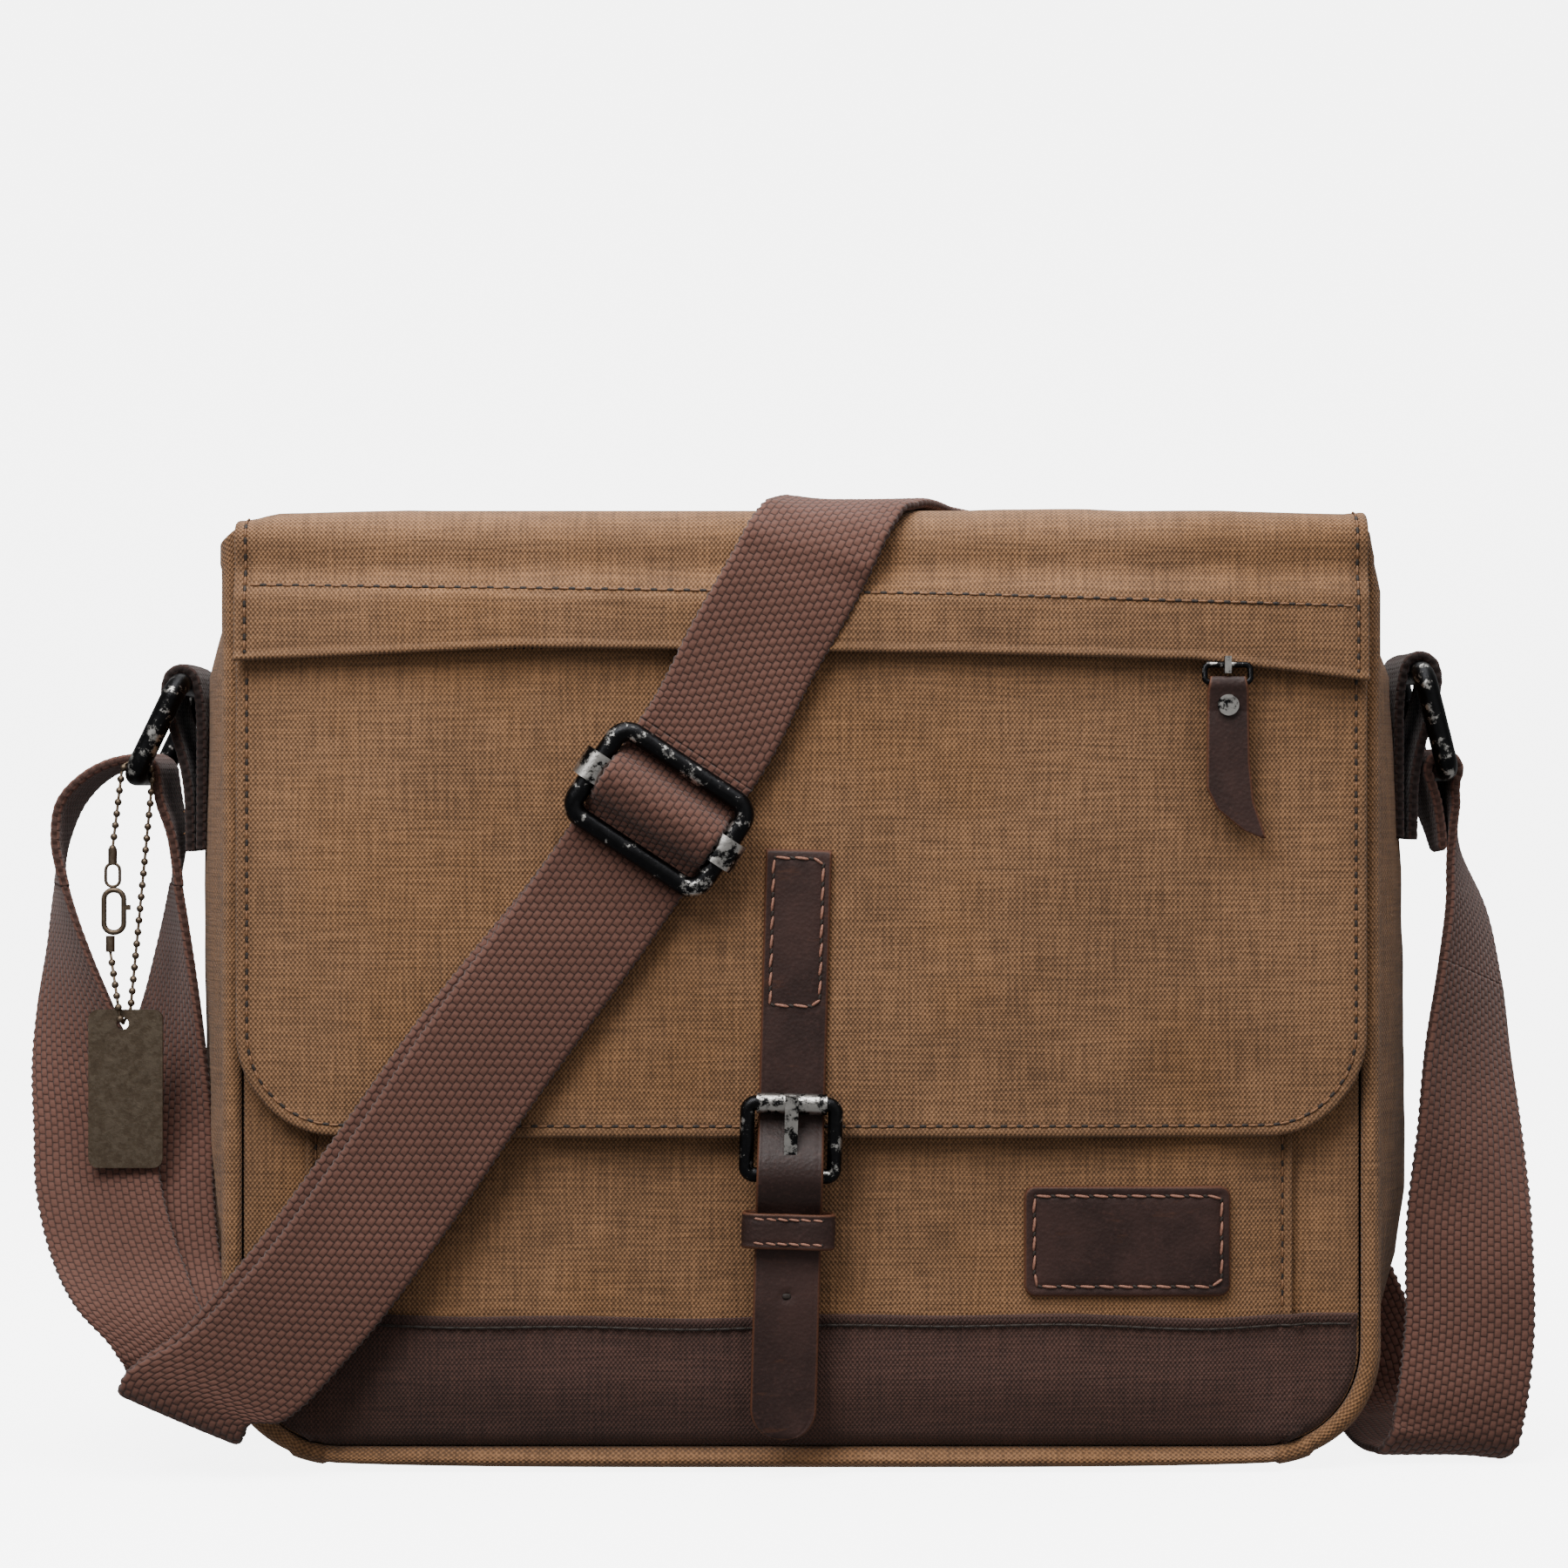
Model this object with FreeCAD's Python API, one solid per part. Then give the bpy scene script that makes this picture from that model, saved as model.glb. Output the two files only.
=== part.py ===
"""Canvas messenger bag with leather trim, a webbing shoulder strap, a zipped flap and a hanging tag.

Millimetres. X to the right of someone facing the bag, the front faces -Y, Z up.
The origin is the middle of the flat base.
"""
import math
import os

import FreeCAD
import Part

V = FreeCAD.Vector
os.makedirs("parts", exist_ok=True)

# ---- driving sizes, mm -------------------------------------------------------------------
BODY_W = 339.0         # width of the front and back panels
BODY_H = 288.5         # height of the open mouth
BODY_D = 97.0          # depth from front panel to back panel
GUSSET_SWELL = 18.0    # how far each side gusset bows out past the panels
CANVAS = 1.7           # canvas thickness
LINING = 1.0           # lining thickness
CORNER_R = 30.0        # lower corners seen from the front
EDGE_R = 9.0           # lower edges seen from the side
STRIP_HALF = 154.0     # half length of the bottom strip, where it laps over the gussets

POCKET_L = 151.5       # front pocket, left edge from the centre
POCKET_R = 150.5       # front pocket, right edge from the centre
POCKET_TOP = 190.0     # height of the pocket mouth
POCKET_GAP = 6.0       # room inside the front pocket
POCKET_CORNER = 3.0    # its lower corners
BAND_H = 48.3          # top of the dark band across the foot of the bag
BAND_T = 1.4
LABEL_W, LABEL_H, LABEL_T = 63.0, 33.5, 2.0

FLAP_HALF = 172.0      # half width of the flap
FLAP_LOW = 103.0       # lower edge of the flap
FLAP_R = 31.0          # lower corners of the flap
FLAP_TOP_GAP = 5.0     # flap crown above the mouth
FLAP_REACH = 14.0      # flap canvas in front of the front panel
FLAP_BEND = 12.0       # bend over the top front edge
ZIP_DROP = 35.0        # zip below the open mouth
ZIP_HALF_L, ZIP_HALF_R = 140.0, 146.0
ZIP_X = 128.5          # where the zip slider stands
RIM = 6.0              # sewn border of the flap lining

WEB_W = 40.0           # shoulder strap webbing
WEB_T = 3.0
LAYER = 3.4            # spacing between two layers of webbing
RING_WIRE = 7.0        # side rings
RING_PLAY, RING_IN_H = 4.0, 24.5
RING_DROP = 45.5       # ring hinges below the open mouth
TAB_LEN = 50.5

LEATHER_W = 20.0       # closing strap
LEATHER_T = 2.2
BILLET_TOP, BILLET_END = 190.2, 12.2
BILLET_X, BILLET_TILT = -0.8, 1.6
BUCKLE_WIRE = 4.5
BUCKLE_PLAY, BUCKLE_H = 6.5, 21.6    # wire centres past the leather; between wire centres
BUCKLE_Z = 92.1        # heel bar
KEEPER_Z = (70.2, 80.6)
HOLES_Z = (55.7,)
SLIDER_WIRE = 6.0
SLIDER_PLAY, SLIDER_H = 6.0, 30.0    # wire centres past the webbing; between wire centres

TAG_W, TAG_H, TAG_T = 23.0, 49.0, 1.5
BEAD_R, BEAD_PITCH = 1.15, 3.7

# ---- places that follow from them ---------------------------------------------------------
Y_FRONT = -47.0
Y_BACK = Y_FRONT + BODY_D
Y_MID = (Y_FRONT + Y_BACK) / 2
HALF = BODY_W / 2
SIDE = HALF + GUSSET_SWELL
Y_POCKET = Y_FRONT - POCKET_GAP - CANVAS
Y_FLAP = Y_FRONT - FLAP_REACH
Z_FLAP = BODY_H + FLAP_TOP_GAP
BUCKLE_W = LEATHER_W + BUCKLE_PLAY
SLIDER_W = WEB_W + SLIDER_PLAY
RING_IN_W = WEB_W + RING_PLAY
ZIP_Z = BODY_H - ZIP_DROP
RING_Z = BODY_H - RING_DROP
Y_A = Y_FLAP - 5.5                   # middle of the outer strap layer
Y_B = Y_A + LAYER                    # middle of the inner strap layer
Y_BUCKLE = Y_FLAP - 5.7


def at(x, y, z):
    """A strap point drawn for a body 339 wide and 288.5 high, moved to suit the sizes set above."""
    return V(x * BODY_W / 339.0, y + (Y_FRONT + 47.0), z * BODY_H / 288.5)


def save(name, shape):
    shape = shape.removeSplitter()
    if len(shape.Solids) == 1:
        shape = shape.Solids[0]
    if not shape.isValid() or len(shape.Solids) != 1:
        print("check", name, shape.isValid(), len(shape.Solids))
    shape.exportStep("parts/%s.step" % name)


def box(x0, x1, y0, y1, z0, z1):
    return Part.makeBox(x1 - x0, y1 - y0, z1 - z0, V(x0, y0, z0))


def cyl(p, direction, r, length):
    return Part.makeCylinder(r, length, p, direction)


def tube(p, direction, r_in, r_out, length):
    return cyl(p, direction, r_out, length).cut(cyl(p, direction, r_in, length))


def fuse(shapes):
    shapes = list(shapes)
    return shapes[0].multiFuse(shapes[1:]) if len(shapes) > 1 else shapes[0]


def plate_xz(x0, x1, z0, z1, y0, y1, r_low, r_high=0.0):
    """An upright plate between y0 and y1 with rounded lower and upper corners."""
    def arc(cx, cz, r, a0):
        pts = [V(cx + r * math.cos(math.radians(a)), y0, cz + r * math.sin(math.radians(a)))
               for a in (a0, a0 + 45, a0 + 90)]
        return pts
    edges, path = [], []
    for cx, cz, r, a0 in ((x1 - r_low, z0 + r_low, r_low, 270), (x1 - r_high, z1 - r_high, r_high, 0),
                          (x0 + r_high, z1 - r_high, r_high, 90), (x0 + r_low, z0 + r_low, r_low, 180)):
        path.append(arc(cx, cz, r, a0) if r > 0 else [V(cx, y0, cz)])
    for i, pts in enumerate(path):
        if len(pts) == 3:
            edges.append(Part.Arc(*pts).toShape())
        nxt = path[(i + 1) % 4][0]
        if pts[-1].distanceToPoint(nxt) > 1e-6:
            edges.append(Part.makeLine(pts[-1], nxt))
    return Part.Face(Part.Wire(edges)).extrude(V(0, y1 - y0, 0))


def profile_x(points, x0, x1):
    """A closed (y, z) outline carried along X."""
    pts = [V(x0, y, z) for y, z in points]
    return Part.Face(Part.makePolygon(pts + pts[:1])).extrude(V(x1 - x0, 0, 0))


def strip_outline(line, t):
    """The outline of a strip of thickness t whose middle follows the (y, z) points of line."""
    left, right = [], []
    for i, (y, z) in enumerate(line):
        dirs = []
        for a, b in ((i - 1, i), (i, i + 1)):
            if a >= 0 and b < len(line):
                d = V(line[b][0] - line[a][0], line[b][1] - line[a][1], 0)
                dirs.append(d.normalize())
        n1, n2 = [V(-d.y, d.x, 0) for d in (dirs[0], dirs[-1])]
        m = (n1 + n2).normalize()
        m = m * (t / 2 / m.dot(n1))
        left.append((y + m.x, z + m.y))
        right.append((y - m.x, z - m.y))
    return left + right[::-1]


def ribbon(path, t=WEB_T, width=WEB_W):
    """Webbing through (point, width direction) pairs, as straight lengths between mitred sections."""
    wires = []
    for i, (p, w) in enumerate(path):
        w = V(w).normalize()
        dirs = []
        for a, b in ((i - 1, i), (i, i + 1)):
            if a >= 0 and b < len(path):
                dirs.append((path[b][0] - path[a][0]).normalize())
        n1, n2 = [d.cross(w).normalize() for d in (dirs[0], dirs[-1])]
        m = (n1 + n2).normalize()
        m = m * (t / 2 / max(m.dot(n1), 0.5))
        tan = (dirs[0] + dirs[-1]).normalize()
        half = w * (width / 2 / math.sqrt(max(1 - tan.dot(w) ** 2, 0.3)))
        c = [p + half + m, p + half - m, p - half - m, p - half + m]
        wires.append(Part.makePolygon(c + c[:1]))
    return Part.makeLoft(wires, True, True)


def wire_frame(w, h, r_corner, r_wire):
    """A rounded rectangular wire in the XY plane, w by h between wire centres, about the origin."""
    parts, a, b, r = [], w / 2, h / 2, max(r_corner, r_wire + 0.15)
    for s in (-1, 1):
        parts.append(cyl(V(-a + r, s * b, 0), V(1, 0, 0), r_wire, w - 2 * r))
        parts.append(cyl(V(s * a, -b + r, 0), V(0, 1, 0), r_wire, h - 2 * r))
    for cx, cy, a0 in ((a - r, b - r, 0), (-a + r, b - r, 90), (-a + r, -b + r, 180), (a - r, -b + r, 270)):
        t = Part.makeTorus(r, r_wire, V(0, 0, 0), V(0, 0, 1), 0, 360, 90)
        t.rotate(V(0, 0, 0), V(0, 0, 1), a0)
        t.translate(V(cx, cy, 0))
        parts.append(t)
    return fuse(parts)


# ---- canvas body --------------------------------------------------------------------------
def shell(inset, top):
    """The bag's outside pulled in by inset, from the base to the height top."""
    h, y0, y1, s = HALF - inset, Y_FRONT + inset, Y_BACK - inset, SIDE - inset
    a, b, c, d = V(-h, y0, 0), V(h, y0, 0), V(h, y1, 0), V(-h, y1, 0)
    edges = [Part.makeLine(a, b), Part.Arc(b, V(s, Y_MID, 0), c).toShape(),
             Part.makeLine(c, d), Part.Arc(d, V(-s, Y_MID, 0), a).toShape()]
    prism = Part.Face(Part.Wire(edges)).extrude(V(0, 0, top))
    front = plate_xz(-s, s, inset, top + 1, y0 - 9, y1 + 9, CORNER_R - inset)
    r = EDGE_R - inset
    k = r * (1 - math.sqrt(0.5))
    pts = [V(-s - 9, y0, top + 1), V(-s - 9, y0, inset + r), V(-s - 9, y0 + k, inset + k),
           V(-s - 9, y0 + r, inset), V(-s - 9, y1 - r, inset), V(-s - 9, y1 - k, inset + k),
           V(-s - 9, y1, inset + r), V(-s - 9, y1, top + 1)]
    edges = [Part.makeLine(pts[0], pts[1]), Part.Arc(pts[1], pts[2], pts[3]).toShape(),
             Part.makeLine(pts[3], pts[4]), Part.Arc(pts[4], pts[5], pts[6]).toShape(),
             Part.makeLine(pts[6], pts[7]), Part.makeLine(pts[7], pts[0])]
    side = Part.Face(Part.Wire(edges)).extrude(V(2 * s + 18, 0, 0))
    return prism.common(front).common(side)


outer = shell(0, BODY_H)
skin = outer.cut(shell(CANVAS, BODY_H + 5))
big = 2 * SIDE
front_zone = box(-big, big, Y_FRONT - 1, Y_FRONT + CANVAS, EDGE_R, BODY_H + 1)
back_zone = box(-big, big, Y_BACK - CANVAS, Y_BACK + 1, EDGE_R, BODY_H + 1)
save("front_panel", skin.common(front_zone))
save("back_panel", skin.common(back_zone))
rest = skin.cut(front_zone).cut(back_zone)
save("bottom_gusset", rest.common(box(-STRIP_HALF, STRIP_HALF, -big, big, -1, EDGE_R + 40)))
save("side_gusset_left", rest.common(box(-big, -STRIP_HALF, -big, big, -1, BODY_H + 1)))
save("side_gusset_right", rest.common(box(STRIP_HALF, big, -big, big, -1, BODY_H + 1)))
lining_top = BODY_H - 6
save("lining", shell(CANVAS, lining_top).cut(shell(CANVAS + LINING, lining_top + 5)))
floor_z = CANVAS + LINING
save("base_stiffener", box(-STRIP_HALF + 4, STRIP_HALF - 4, Y_FRONT + 10, Y_BACK - 10, floor_z, floor_z + 2))

# ---- front pocket, band and label ---------------------------------------------------------
pocket = plate_xz(-POCKET_L, POCKET_R, EDGE_R, POCKET_TOP, Y_POCKET, Y_FRONT, POCKET_CORNER)
hollow = plate_xz(-POCKET_L + CANVAS, POCKET_R - CANVAS, EDGE_R + CANVAS, POCKET_TOP + 5,
                  Y_POCKET + CANVAS, Y_FRONT, POCKET_CORNER)
save("front_pocket", pocket.cut(hollow))
band = [plate_xz(-POCKET_L - BAND_T, POCKET_R + BAND_T, EDGE_R, BAND_H, Y_POCKET - BAND_T, Y_FRONT, POCKET_CORNER)]
band.append(plate_xz(-HALF + 1, HALF - 1, 1, BAND_H, Y_FRONT - BAND_T, Y_FRONT, CORNER_R - 1))
band = fuse(band).cut(box(-POCKET_L, POCKET_R, Y_POCKET, Y_FRONT + 1, 0, BAND_H + 1))
save("base_band", band.common(box(-big, big, Y_POCKET - 9, Y_FRONT, EDGE_R, BAND_H + 1)))
label_x = 99.2
save("leather_label", plate_xz(label_x - LABEL_W / 2, label_x + LABEL_W / 2, 54.3, 54.3 + LABEL_H,
                               Y_POCKET - LABEL_T, Y_POCKET, 3, 3))

# ---- flap ----------------------------------------------------------------------------------
def flap_sheet(inset, low):
    """(y, z) outline points of the flap's outside pulled in by inset, ending at the height low."""
    r = FLAP_BEND - inset
    cy, cz = Y_FLAP + FLAP_BEND, Z_FLAP - FLAP_BEND
    arc = [(cy - r * math.sin(math.radians(a)), cz + r * math.cos(math.radians(a))) for a in range(0, 91, 15)]
    return [(Y_BACK, Z_FLAP - inset)] + arc + [(Y_FLAP + inset, low)]


def flap_shell(i0, i1, low, half):
    return profile_x(flap_sheet(i0, low) + flap_sheet(i1, low)[::-1], -half, half)


zip_low, zip_high = ZIP_Z - 4.5, ZIP_Z + 8.5
save("flap_top_panel", flap_shell(0, CANVAS, zip_high, FLAP_HALF))
front_canvas = plate_xz(-FLAP_HALF, FLAP_HALF, FLAP_LOW, zip_high, Y_FLAP, Y_FLAP + CANVAS, FLAP_R)
window = box(-ZIP_HALF_L, ZIP_HALF_R, Y_FLAP - 1, Y_FLAP + CANVAS + 1, zip_low, zip_high + 1)
save("flap_front_panel", front_canvas.cut(window))
yoke = [(Y_FLAP - 3.0, zip_low), (Y_FLAP - 3.0, ZIP_Z + 17), (Y_FLAP, ZIP_Z + 17),
        (Y_FLAP, ZIP_Z + 12), (Y_FLAP - 1.5, ZIP_Z + 12), (Y_FLAP - 1.5, zip_low)]
save("flap_yoke", profile_x(yoke, -FLAP_HALF + 0.5, FLAP_HALF - 0.5))
y_line0, y_line1 = Y_FLAP + CANVAS + 2.1, Y_FLAP + CANVAS + 3.1
lin_half = FLAP_HALF - 1.0
lin_front = plate_xz(-lin_half, lin_half, FLAP_LOW + 1, zip_high + 6, y_line0, y_line1, FLAP_R - 1)
rim = plate_xz(-lin_half, lin_half, FLAP_LOW + 1, zip_high + 6, Y_FLAP + CANVAS, y_line0, FLAP_R - 1)
rim = rim.cut(plate_xz(-lin_half + RIM, lin_half - RIM, FLAP_LOW + 1 + RIM, zip_high,
                       Y_FLAP, y_line1, FLAP_R - 1 - RIM))
lin_top = flap_shell(CANVAS, CANVAS + 1.0, zip_high, lin_half)
save("flap_lining", fuse([lin_front, rim, lin_top]))

# ---- zip on the flap --------------------------------------------------------------------------
y_teeth0, y_teeth1 = Y_FLAP + 0.1, Y_FLAP + 2.1
for name, z0, z1, t0, t1 in (("zip_tape_upper", ZIP_Z + 0.6, ZIP_Z + 2.5, ZIP_Z + 2.5, zip_high - 0.1),
                             ("zip_tape_lower", ZIP_Z - 2.5, ZIP_Z - 0.6, ZIP_Z - 10, ZIP_Z - 2.5)):
    teeth = box(-ZIP_HALF_L + 2, ZIP_HALF_R - 2, y_teeth0, y_teeth1, z0, z1)
    tape = box(-ZIP_HALF_L - 3, ZIP_HALF_R + 3, Y_FLAP + CANVAS, Y_FLAP + CANVAS + 0.45, t0, t1)
    save(name, fuse([teeth, tape]))
y_s0, y_s1 = Y_FLAP - 1.2, Y_FLAP - 0.3
slider = [box(ZIP_X - 6, ZIP_X + 6, y_s0, y_s1, ZIP_Z - 8, ZIP_Z + 4.3),
          box(ZIP_X - 6, ZIP_X + 6, Y_FLAP + 2.4, Y_FLAP + 3.4, ZIP_Z - 4.3, ZIP_Z + 4.3),
          box(ZIP_X + 2, ZIP_X + 5, y_s0, Y_FLAP + 3.4, ZIP_Z - 0.3, ZIP_Z + 0.3)]
y_eye = Y_FLAP - 2.75
z_eye = ZIP_Z - 7.5
slider += [box(ZIP_X - 1, ZIP_X + 1, y_eye - 2.7, y_eye - 1.4, z_eye - 2.6, z_eye + 2.6),
           box(ZIP_X - 1, ZIP_X + 1, y_eye - 2.7, y_s1, z_eye + 1.4, z_eye + 2.6),
           box(ZIP_X - 1, ZIP_X + 1, y_eye - 2.7, y_s1, z_eye - 2.6, z_eye - 1.4),
           box(ZIP_X - 1, ZIP_X + 1, y_s0, y_s1, z_eye - 2.6, z_eye)]
save("zip_slider", fuse(slider))
pull_wire, pull_w, pull_h = 0.9, 13.8, 5.5
loop = wire_frame(pull_w, pull_h, 1.6, pull_wire)
loop.rotate(V(0, 0, 0), V(1, 0, 0), 90)
loop.translate(V(0, 0, -pull_h / 2))
loop.rotate(V(0, 0, 0), V(1, 0, 0), -13)
loop.translate(V(ZIP_X, y_eye, z_eye))
save("zip_pull_ring", loop)
a13 = math.radians(13)
y_fold, z_fold = y_eye - pull_h * math.sin(a13), z_eye - pull_h * math.cos(a13)
outline = [(-5.4, 0), (5.4, 0), (6.2, -3), (6.6, -24), (7.8, -36), (11.5, -47), (4.5, -44.5), (-3.5, -38),
           (-6.4, -32), (-6.2, -3)]
pts = [V(ZIP_X + x, y_fold - 1.0, z_fold + z) for x, z in outline]
leather = Part.Face(Part.makePolygon(pts + pts[:1])).extrude(V(0, 2.0, 0))
leather = fuse([leather, cyl(V(ZIP_X - 5.4, y_fold, z_fold), V(1, 0, 0), 2.55, 10.8)])
leather = leather.cut(cyl(V(ZIP_X - 9, y_fold, z_fold), V(1, 0, 0), 1.0, 18))
leather = leather.cut(box(ZIP_X - 1.7, ZIP_X + 1.7, y_fold - 4, y_fold + 4, z_fold - 0.3, z_fold + 4))
rivet_z = z_fold - 6.8
leather = leather.cut(cyl(V(ZIP_X, y_fold - 3, rivet_z), V(0, 1, 0), 1.2, 6))
save("zip_pull_leather", leather)
save("zip_pull_rivet", fuse([cyl(V(ZIP_X, y_fold - 1.9, rivet_z), V(0, 1, 0), 3.2, 0.9),
                             cyl(V(ZIP_X, y_fold - 1.9, rivet_z), V(0, 1, 0), 1.2, 3.8),
                             cyl(V(ZIP_X, y_fold + 1.0, rivet_z), V(0, 1, 0), 2.6, 0.9)]))

# ---- closing strap, drawn upright and then tilted ------------------------------------------------
def tilted(shape):
    shape.rotate(V(BILLET_X, 0, BILLET_TOP), V(0, 1, 0), BILLET_TILT)
    return shape


lx0, lx1 = BILLET_X - LEATHER_W / 2, BILLET_X + LEATHER_W / 2
roller_z = BUCKLE_Z + BUCKLE_H
y_lay = Y_FLAP - LEATHER_T / 2
line = [(y_lay, BILLET_TOP), (y_lay, roller_z - 1.7), (y_lay - 1.1, roller_z - 6.7),
        (Y_BUCKLE - 3.3, BUCKLE_Z + 4.9), (Y_BUCKLE - 5.3, BUCKLE_Z + 0.9), (Y_BUCKLE - 5.3, BUCKLE_Z - 2.1),
        (Y_BUCKLE - 2.8, BUCKLE_Z - 8.1), (Y_BUCKLE + 0.9, BUCKLE_Z - 13.1), (Y_BUCKLE + 0.9, BILLET_END)]
billet = profile_x(strip_outline(line, LEATHER_T), lx0, lx1)
tip = plate_xz(lx0, lx1, BILLET_END, BILLET_TOP, Y_BUCKLE - 20, Y_FLAP + 5, LEATHER_W / 2 - 0.5, 1.0)
slot = box(BILLET_X - 2.7, BILLET_X + 2.7, Y_BUCKLE - 20, Y_FLAP + 5, BUCKLE_Z - 1.0, BUCKLE_Z + 13.6)
billet = billet.common(tip).cut(slot)
for hole_z in HOLES_Z:
    billet = billet.cut(cyl(V(BILLET_X, Y_BUCKLE - 20, hole_z), V(0, 1, 0), 1.6, 40))
save("billet_strap", tilted(billet))
r_heel = BUCKLE_WIRE / 2
chape_y0, chape_y1 = Y_BUCKLE + r_heel + 0.15, Y_BUCKLE + r_heel + 1.75
chape = fuse([cyl(V(lx0 + 0.2, Y_BUCKLE, BUCKLE_Z), V(1, 0, 0), r_heel + 1.75, LEATHER_W - 0.4),
              plate_xz(lx0 + 0.2, lx1 - 0.2, 32.0, BUCKLE_Z, chape_y0, chape_y1, 6)])
chape = chape.cut(cyl(V(lx0 - 2, Y_BUCKLE, BUCKLE_Z), V(1, 0, 0), r_heel + 0.15, LEATHER_W + 4))
chape = chape.cut(box(BILLET_X - 2.7, BILLET_X + 2.7, Y_BUCKLE - 9, Y_BUCKLE + 9, BUCKLE_Z - 4.2, BUCKLE_Z + 9))
save("chape_strap", tilted(chape))
keeper = box(BILLET_X - 14, BILLET_X + 14, Y_BUCKLE - 3.7, chape_y1 + 1.7, *KEEPER_Z)
keeper = keeper.cut(box(BILLET_X - 12.3, BILLET_X + 12.3, Y_BUCKLE - 2.2, chape_y1 + 0.1, 60, 90))
save("keeper_loop", tilted(keeper))
snap_z = BAND_H + 9.5
socket = cyl(V(BILLET_X, chape_y1, snap_z), V(0, 1, 0), 8.0, Y_POCKET - 2.3 - chape_y1)
save("snap_socket", tilted(socket))
stud = cyl(V(BILLET_X, Y_POCKET - 2.0, snap_z), V(0, 1, 0), 8.0, 2.0)
save("snap_stud", tilted(stud))
frame = wire_frame(BUCKLE_W, BUCKLE_H, 2.4, r_heel)
frame.rotate(V(0, 0, 0), V(1, 0, 0), 90)
frame.translate(V(BILLET_X, Y_BUCKLE, BUCKLE_Z + BUCKLE_H / 2))
save("buckle_frame", tilted(frame))
save("buckle_roller", tilted(tube(V(BILLET_X - 10.6, Y_BUCKLE, roller_z), V(1, 0, 0), r_heel + 0.1, 3.15, 21.2)))
prong_half = 2.0
prong_line = [(Y_BUCKLE - r_heel - 0.9, BUCKLE_Z + 0.5), (Y_BUCKLE - 3.4, BUCKLE_Z + 6),
              (Y_BUCKLE - 4.3, roller_z - 3), (Y_BUCKLE - 4.4, roller_z + 2.6)]
prong = fuse([profile_x(strip_outline(prong_line, 1.8), BILLET_X - prong_half, BILLET_X + prong_half),
              cyl(V(BILLET_X - prong_half, Y_BUCKLE, BUCKLE_Z), V(1, 0, 0), r_heel + 1.5, 2 * prong_half)])
prong = prong.cut(cyl(V(BILLET_X - 9, Y_BUCKLE, BUCKLE_Z), V(1, 0, 0), r_heel + 0.1, 18))
save("buckle_prong", tilted(prong))

# ---- side tabs and rings ---------------------------------------------------------------------------
ring_c2c = RING_IN_H + RING_WIRE
r_ring = RING_WIRE / 2
tab_x = SIDE + 7.0                     # ring's top bar, from the centre
for side, s, ring_z, tilt in (("left", -1, RING_Z - 1.7, 25.8), ("right", 1, RING_Z + 2.0, 14.0)):
    low = ring_z - TAB_LEN
    y0, y1 = Y_MID - WEB_W / 2, Y_MID + WEB_W / 2
    inner_x0, inner_x1 = SIDE - 5.5, SIDE + 3.3
    outer_x0, outer_x1 = SIDE + 3.3, SIDE + 6.4
    xs = sorted((s * inner_x0, s * inner_x1))
    near = box(xs[0], xs[1], y0, y1, low, ring_z).cut(outer)
    xs = sorted((s * outer_x0, s * outer_x1))
    far = box(xs[0], xs[1], y0, y1, low, ring_z)
    eye = cyl(V(s * tab_x, y0, ring_z), V(0, 1, 0), r_ring + 0.1 + WEB_T, WEB_W)
    hole = cyl(V(s * tab_x, y0 - 1, ring_z), V(0, 1, 0), r_ring + 0.1, WEB_W + 2)
    save("strap_tab_" + side, fuse([near, far, eye]).cut(hole).cut(outer))
    ring = wire_frame(RING_IN_W + RING_WIRE, ring_c2c, 5.0, r_ring)
    ring.rotate(V(0, 0, 0), V(0, 0, 1), 90)          # long bars along Y
    ring.translate(V(-ring_c2c / 2, 0, 0))           # one long bar on the Y axis, the other at -X
    ring.rotate(V(0, 0, 0), V(0, 1, 0), -90 + s * tilt * -1)
    ring.translate(V(s * tab_x, Y_MID, ring_z))
    save("ring_" + side, ring)

bar_l = V(-tab_x - ring_c2c * math.sin(math.radians(25.8)), Y_MID,
          RING_Z - 1.7 - ring_c2c * math.cos(math.radians(25.8)))
bar_r = V(tab_x + ring_c2c * math.sin(math.radians(14.0)), Y_MID,
          RING_Z + 2.0 - ring_c2c * math.cos(math.radians(14.0)))
Y_WEB = Y_MID + 1.5                    # the strap sits a little behind the middle of each ring
DEPTH = V(0, -1, 0)
r_turn = r_ring + 0.15 + WEB_T / 2


def turn(bar, angles, first, last):
    """Webbing round a ring's lower bar: a straight lead in, an arc through angles, a lead out."""
    path = [V(bar.x, Y_WEB, bar.z) + V(r_turn * math.cos(math.radians(a)), 0, r_turn * math.sin(math.radians(a)))
            for a in angles]
    return ribbon([(p, DEPTH) for p in [path[0] + first] + path + [path[-1] + last]])


save("strap_left_ring_turn", turn(bar_l, range(0, 106, 15), V(0, 0, -6), V(-5.5, 0, -1.4)))
save("strap_right_ring_turn", turn(bar_r, range(-35, 216, 15), V(-1.2, 0, -6.5), V(2.2, 0, -6.5)))

# ---- shoulder strap --------------------------------------------------------------------------------
S = at(-42.7, 0, 202.4)
slide_dir = V(0.5505, 0, 0.8348)
slide_w = V(0.8348, 0, -0.5505)
X = V(1, 0, 0)


def on_slider(s, y):
    p = S + slide_dir * s
    return V(p.x, y, p.z)


def across(t):
    """Width direction of webbing that lies against the front and runs along t."""
    return V(t.z, 0, -t.x)


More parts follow.
